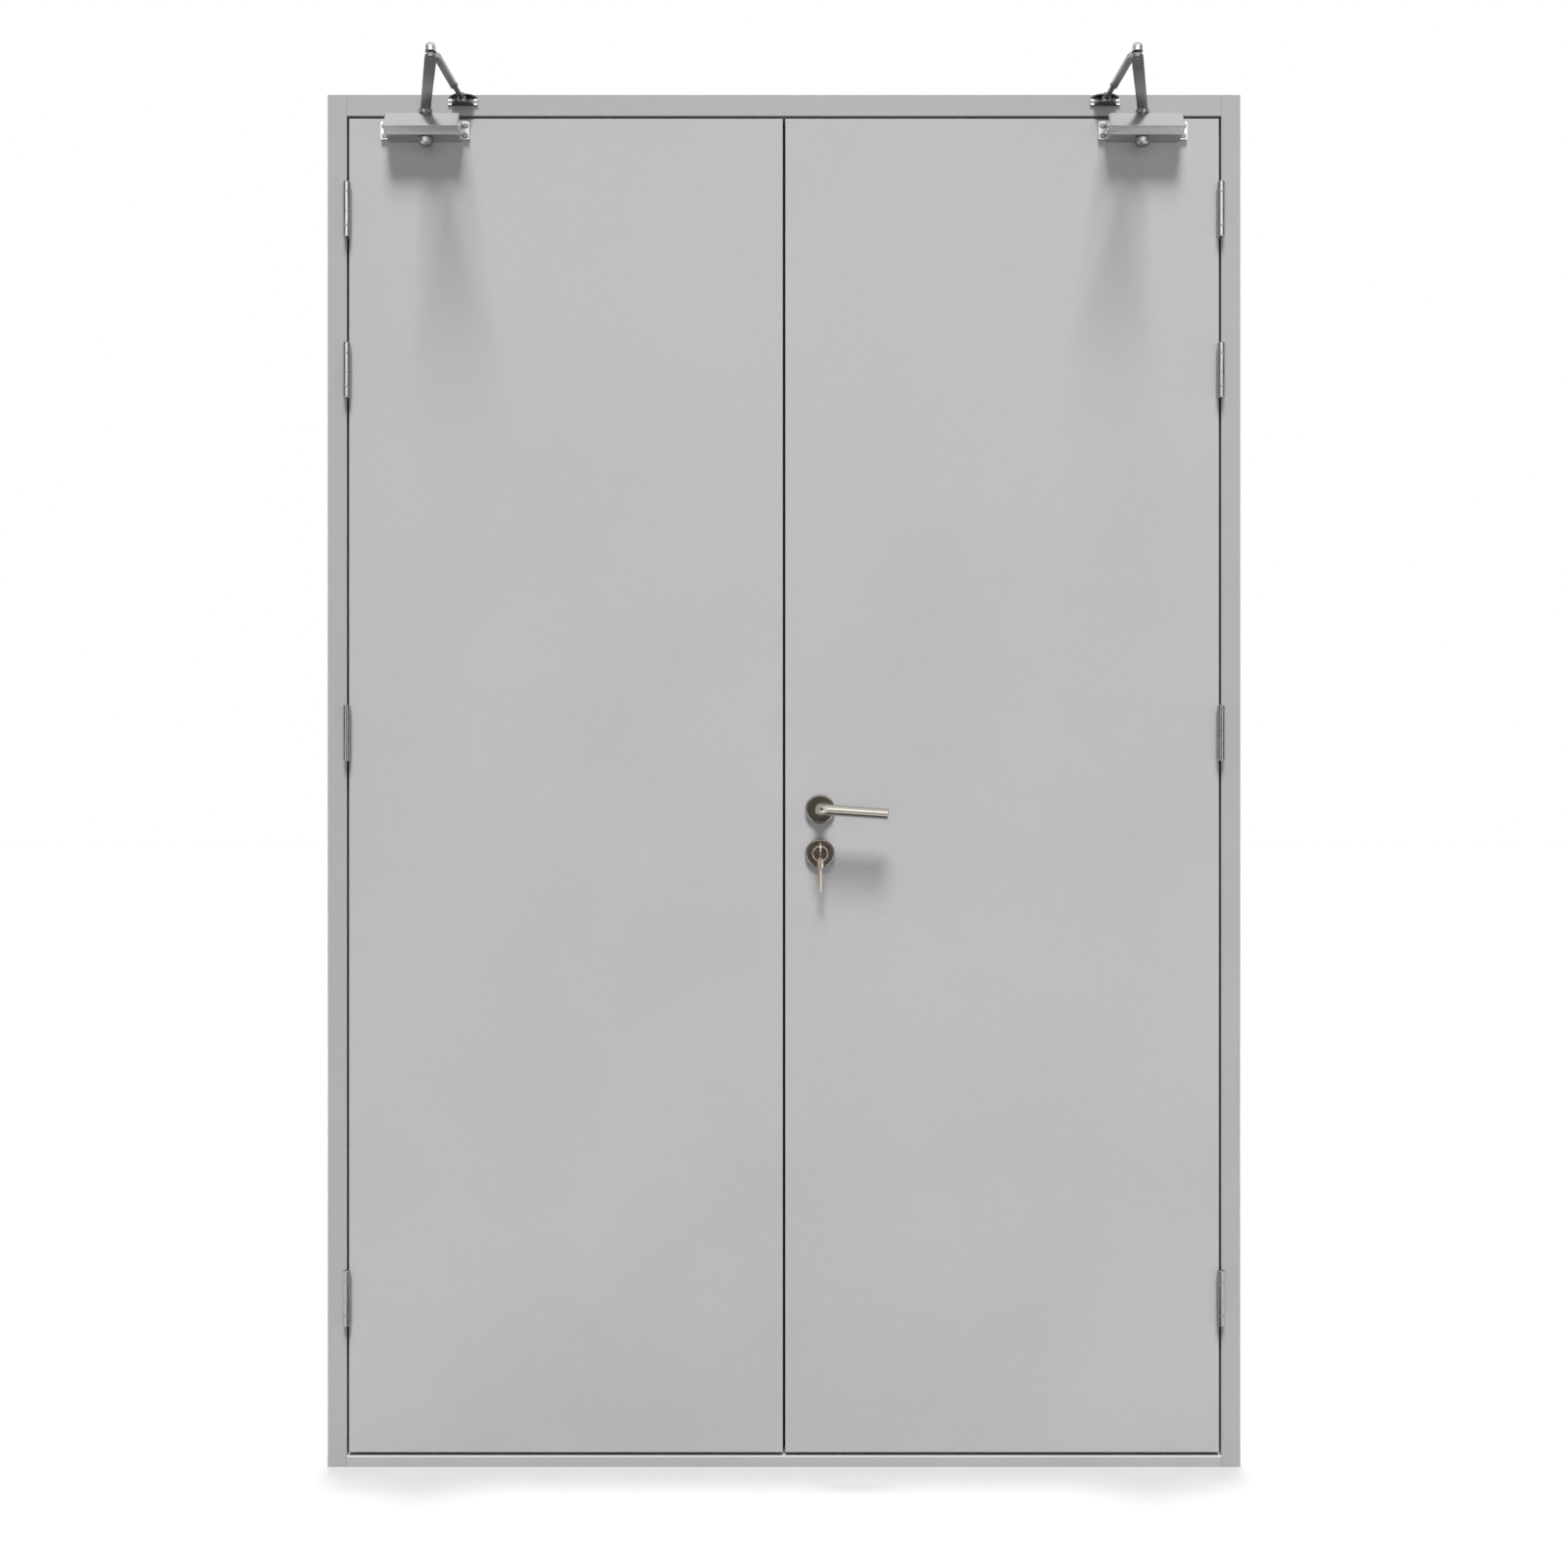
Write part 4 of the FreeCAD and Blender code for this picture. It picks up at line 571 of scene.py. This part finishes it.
for side, sign in (("left", -1), ("right", 1)):
    leaf, arm, forearm = side + "_leaf", side + "_arm", side + "_forearm"
    dressed(side + "_closer_housing", lacquer, leaf, "closer_paint", 0.5)
    dressed(side + "_closer_pinion", pinion_steel, arm, "closer_steel", 0.3)
    dressed(side + "_main_arm", arm_lacquer_painted_shade, arm, "closer_steel", 0.5)
    for part, coat in (("forearm", arm_lacquer_painted_shade), ("elbow_cap", bright_zinc),
                       ("adjusting_rod", arm_lacquer_painted_shade)):
        dressed(side + "_" + part, coat, forearm, "closer_steel", 0.4)
    dressed(side + "_closer_shoe", shoe_lacquer_painted_shade, "frame", "closer_steel", 0.35)

    # The shoe's ears, one at each end, which take its fixing screws.
    slabs(side + "_shoe_ears", [
        ((sign * SHOE_X + low, FACE - 3.3, EAR_LOW),
         (sign * SHOE_X + low + 5.6, FACE - 2.5, EAR_HIGH))
        for low in (-23.9, 18.3)], 0.15, bright_zinc, "frame", "closer_steel")

    # The housing: four flange screws, a socket in each end plug, the valve's
    # screw, the pinion's slotted foot and the bolt that holds the arm on it.
    flange = [(sign * (HOUSING_X + along), FACE - FLANGE_OUT, up)
              for along in (-66.2, 66.2) for up in FLANGE_UPS]
    # Thin black discs under the flange screws are painted shade, the dark ring of each screw
    # hole.
    screws(side + "_flange_painted_hole_shade", flange, OUTWARDS, 4.3, 0.15, NO_DRIVE, 0, black_steel_and_painted_shade,
           leaf, "closer_steel")
    screws(side + "_flange_screws", flange, OUTWARDS, 3.1, 1.4, CROSS, 0.9, zinc_screw,
           leaf, "closer_steel")
    for end, along in (("inner", -62.2), ("outer", 62.2)):
        screws("%s_%s_plug_socket" % (side, end),
               [(sign * (HOUSING_X + along), FACE - PLUG_OUT, PLUG_UP)],
               (sign * math.copysign(1, along), 0, 0), 8, 0.8, HEXAGON, 0.7, pinion_steel,
               leaf, "closer_steel")
    screws(side + "_valve_screw", [(sign * VALVE_X, FACE - VALVE_OUT, VALVE_UP)], DOWN,
           2.8, 0.8, SLOT, 0.5, zinc_screw, leaf, "closer_steel")
    pinion = sign * PINION_X, FACE - PINION_OUT
    screws(side + "_pinion_slot", [(*pinion, PINION_FOOT)], DOWN, 4.4, 0.8, SLOT, 0.5,
           pinion_steel, arm, "closer_steel")
    screws(side + "_arm_bolt", [(*pinion, ARM_TOP)], UP, 5, 2.6, HEXAGON, 1.6,
           zinc_screw, arm, "closer_steel")

    # The elbow: a rivet under the main arm, a cast cone on it, and above that
    # the forearm's sleeve and its screw. Cone and sleeve cover the CAD ones.
    elbow = sign * ELBOW_X, FACE - ELBOW_OUT
    # A thin black disc round the rivet is painted shade.
    screws(side + "_elbow_rivet_painted_shade", [(*elbow, ELBOW_FOOT)], DOWN, 3.6, 0.12, NO_DRIVE, 0,
           black_steel_and_painted_shade, arm, "closer_steel")
    screws(side + "_elbow_rivet", [(*elbow, ELBOW_FOOT)], DOWN, 2.4, 0.7, NO_DRIVE, 0,
           zinc_screw, arm, "closer_steel")
    screws(side + "_elbow_screw", [(*elbow, ELBOW_TOP)], UP, 4, 0.5, CROSS, 0.4,
           zinc_screw, forearm, "closer_steel")
    elbow_turning(side + "_elbow_cone", CONE_UP, 8.8, 3.7, 5.1, cast_zinc, arm, sign)
    elbow_turning(side + "_elbow_sleeve", SLEEVE_UP, 8.4, 8.4, 6.4, bright_zinc, forearm, sign)

    # The screw that clamps the adjusting rod, and the two in the shoe's ears.
    screws(side + "_clamp_screw", [(sign * CLAMP_X, FACE - CLAMP_OUT, CLAMP_UP)], (-sign, 0, 0),
           3, 1.6, HEXAGON, 1, zinc_screw, forearm, "closer_steel")
    ears = [(sign * (SHOE_X + along), FACE - 3.3, EAR_UP) for along in (-21.1, 21.1)]
    # Thin black discs under the ear screws are painted shade of their holes.
    screws(side + "_shoe_painted_hole_shade", ears, OUTWARDS, 2.6, 0.12, NO_DRIVE, 0, black_steel_and_painted_shade,
           "frame", "closer_steel")
    screws(side + "_shoe_screws", ears, OUTWARDS, 1.8, 0.6, CROSS, 0.5, zinc_screw,
           "frame", "closer_steel")


# The lever set: 17.5 mm tube of satin stainless steel, bent to an L on each
# face and closed with a disc, on rosettes of the same steel, finished on a lathe.

# Satin stainless steel: warm grey, with soft bands and fine lines along the grip.
satin_steel = ground_metal("satin_stainless_steel", "#c6c0b7", 0.22, 1, "x", 0.05, 0.01)


def tube(name, path, radius, crown, finish, body, slot, *replaced, around=48):
    """A round bar along a path in millimetres, its far end eased by the crown."""
    path = [Vector(point) for point in path]
    rings = [(point, radius) for point in path]
    ahead = (path[-1] - path[-2]).normalized()
    for step in range(1, 6):
        angle = step / 5 * math.pi / 2
        rings.append((path[-1] + ahead * crown * math.sin(angle),
                      radius - crown * (1 - math.cos(angle))))
    turns = [math.tau * step / around for step in range(around)]
    build = bmesh.new()
    side = Vector((0, 0, 1))
    loops = []
    for index, (middle, reach) in enumerate(rings):
        before = rings[max(index - 1, 0)][0]
        after = rings[min(index + 1, len(rings) - 1)][0]
        along = (after - before).normalized()
        side = (side - along * side.dot(along)).normalized()
        other = along.cross(side)
        loops.append([build.verts.new((middle + reach * (
            side * math.cos(turn) + other * math.sin(turn))) * MM) for turn in turns])
    for first, second in zip(loops, loops[1:]):
        for step in range(around):
            follow = (step + 1) % around
            build.faces.new((first[step], first[follow], second[follow], second[step]))
    build.faces.new(list(reversed(loops[0])))
    build.faces.new(loops[-1])
    bmesh.ops.recalc_face_normals(build, faces=build.faces[:])
    return piece(name, smoothed(formed(name, build)), finish, body, slot, *replaced)


# The lever's axis across the door, its height and the cylinder's, and the
# middle of the leaf's thickness.
AXIS, LEVER_UP, KEY_UP, MIDDLE = 58.75, 1074, 1010, FACE + 25
NECK, BEND, GRIP_OUT, GRIP_END, LEVER_RADIUS = 38, 14, 52, 107.4, 8.75
droop = Matrix.Rotation(math.radians(4), 3, "Y")
grip = [(0, -1, 0), (0, -20, 0), (0, -NECK, 0)]
grip += [(BEND - BEND * math.cos(math.radians(turn)),
          -NECK - BEND * math.sin(math.radians(turn)), 0) for turn in range(6, 91, 6)]
grip += [(60, -GRIP_OUT, 0), (GRIP_END, -GRIP_OUT, 0)]
for name, back in (("front_lever", False), ("back_lever", True)):
    path = [droop @ Vector(point) + Vector((AXIS, FACE, LEVER_UP)) for point in grip]
    if back:
        path = [(x, 2 * MIDDLE - y, z) for x, y, z in path]
    tube(name + "_tube", path, LEVER_RADIUS, 1.6, satin_steel, "lever", "lever_steel", name)


def turned_metal(name, code, roughness, line_mm, axis, contrast=0.08):
    """Metal finished on a lathe: fine rings round an axis that runs through the leaf."""
    finish = bpy.data.materials.new(name)
    tree = bare(finish)
    place = add(tree, "ShaderNodeTexCoord").outputs["Object"]
    place = add(tree, "ShaderNodeMapping", {
        "Vector": place, "Location": (-axis[0] * MM, 0, -axis[1] * MM),
        "Scale": (1, 0, 1)}).outputs[0]
    out = add(tree, "ShaderNodeVectorMath", {0: place}, operation="LENGTH").outputs["Value"]
    rings = add(tree, "ShaderNodeTexNoise", {
        "W": out, "Scale": 1000 / line_mm, "Detail": 3.0}, noise_dimensions="1D").outputs[0]
    shade = add(tree, "ShaderNodeMapRange", {
        0: rings, 1: 0.3, 2: 0.7, 3: 1 - contrast, 4: 1 + contrast})
    tint = add(tree, "ShaderNodeMix", {0: 1.0, 6: linear(code), 7: shade.outputs[0]},
               data_type="RGBA", blend_type="MULTIPLY")
    relief = add(tree, "ShaderNodeBump", {
        "Height": rings, "Strength": 0.3, "Distance": 0.02 * MM})
    shader = add(tree, "ShaderNodeBsdfPrincipled", {
        "Base Color": tint.outputs[2], "Metallic": 1.0, "Roughness": roughness,
        "Normal": relief.outputs[0]})
    add(tree, "ShaderNodeOutputMaterial", {"Surface": shader.outputs[0]})
    return finish


# Turned stainless steel: rings round the neck. It is drawn a little darker than the lever:
# painted reflection of dark surroundings in its flat face.
ROSETTE_APART = 72
for kind, up in (("lever", LEVER_UP), ("key", LEVER_UP - ROSETTE_APART)):
    rosette_steel_painted_darker = turned_metal("turned_stainless_%s_rosette" % kind, "#9e968d", 0.24, 0.6,
                                 (AXIS, up))
    for face in ("front", "back"):
        dressed("%s_%s_rosette" % (face, kind), rosette_steel_painted_darker, "right_leaf", "lever_steel", 0.7)
wear(satin_steel, "lever_spindle")
screws("lever_grub_screws", [(AXIS, y, LEVER_UP - 8.65) for y in (FACE - 18, 18)], DOWN,
       2, 0.3, HEXAGON, 0.25, black_steel_and_painted_shade, "lever", "lever_steel")


# The lock: a brass cylinder plated in satin nickel, with a key in it and its
# spare on a split ring of spring wire.

# Satin nickel: a dim, warm shine, with fine rings round the plug.
nickel = turned_metal("satin_nickel_on_brass", "#8f877b", 0.24, 0.5, (AXIS, KEY_UP))
for name in ("lock_cylinder", "cylinder_plug"):
    dressed(name, nickel, "key" if name == "cylinder_plug" else "right_leaf",
            "cylinder_brass", 0.25)
# Rolled nickel silver: warm and bright, with fine upright lines.
key_nickel = ground_metal("rolled_nickel_silver", "#e4d4c4", 0.26, 1, "z", 0.05, 0.02)
dressed("inserted_key", key_nickel, "key", "key_steel", 0.3)
dressed("hanging_key", key_nickel, "key_ring", "key_steel", 0.3)
# Plated spring wire: smooth and bright, a thin glint along each turn.
spring_wire = ground_metal("nickel_plated_spring_wire", "#e0d4c6", 0.24, 1, "y", 0.03, 0.005)
STEPS, COIL_RADIUS, COIL_OUT, COIL_UP, COIL_PITCH = 96, 12, 22.8, 1002.03, 1.5
coil = [(AXIS + COIL_RADIUS * math.cos(math.tau * 2 * step / STEPS),
         FACE - COIL_OUT + COIL_PITCH * (step / STEPS - 0.5),
         COIL_UP + COIL_RADIUS * math.sin(math.tau * 2 * step / STEPS))
        for step in range(STEPS + 1)]
tube("split_ring", coil, 0.78, 0.2, spring_wire, "key_ring", "key_steel", "key_ring", around=12)


# The plates in the leaves' edges: brushed stainless steel, let in flush, with
# the latch and the dead bolt drawn back and the flush bolts' slides.

# Brushed stainless steel: even grey, with long lines up the plate.
lock_steel = ground_metal("brushed_stainless_plate", "#a9a7a3", 0.3, 1, "z", 0.06, 0.02)
for name, body in (("lock_faceplate", "right_leaf"), ("lock_strike", "left_leaf"),
                   ("flush_bolt_plates", "left_leaf")):
    dressed(name, lock_steel, body, "lock_steel", 0.4)
EDGE = 3.25
for name, side, body, ups in (
    ("faceplate_screws", 1, "right_leaf", (928, 1148)),
    ("strike_screws", -1, "left_leaf", (961, 1115)),
    ("flush_bolt_screws", -1, "left_leaf", (71, 235, 1989, 2153)),
):
    screws(name, [(side * (EDGE + 0.3), MIDDLE, up) for up in ups], (-side, 0, 0),
           3.8, 0.75, CROSS, 0.5, zinc_screw, body, "lock_steel")


def let_in(name, side, proud, halves, spans, ease, finish, body):
    """Blocks let 1 mm into a leaf's edge, of those half widths, from height to height."""
    low_x, high_x = sorted((side * (EDGE + 1), side * (EDGE - proud)))
    return slabs(name, [((low_x, MIDDLE - half, low), (high_x, MIDDLE + half, high))
                        for half, (low, high) in zip(halves, spans)],
                 ease, finish, body, "lock_steel")


# The thin near-black slabs in the faceplate, the strike and the flush bolt plates are painted
# shade: the dark inside the pockets and slots.
let_in("lock_pocket_painted_shade", 1, 0.25, (7, 6), ((1061, 1087), (992, 1028)), 0.2,
       black_steel_and_painted_shade, "right_leaf")
let_in("latch_and_bolt", 1, 0.7, (6, 5), ((1062, 1086), (993, 1027)), 0.5,
       zinc_screw, "right_leaf")
let_in("strike_pocket_painted_shade", -1, 0.2, (7, 6), ((1060, 1088), (991, 1029)), 0.2,
       black_steel_and_painted_shade, "left_leaf")
let_in("flush_bolt_slot_painted_shade", -1, 0.2, (3, 3), ((118, 188), (2036, 2106)), 0.2,
       black_steel_and_painted_shade, "left_leaf")
let_in("flush_bolt_slides", -1, 0.7, (2.4, 2.4), ((119, 141), (2083, 2105)), 0.4,
       lock_steel, "left_leaf")


# The CAD box and the dressed part's box.
size = {"cad": [list(corner) for corner in cad_box],
        "visual": [list(corner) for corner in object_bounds()]}
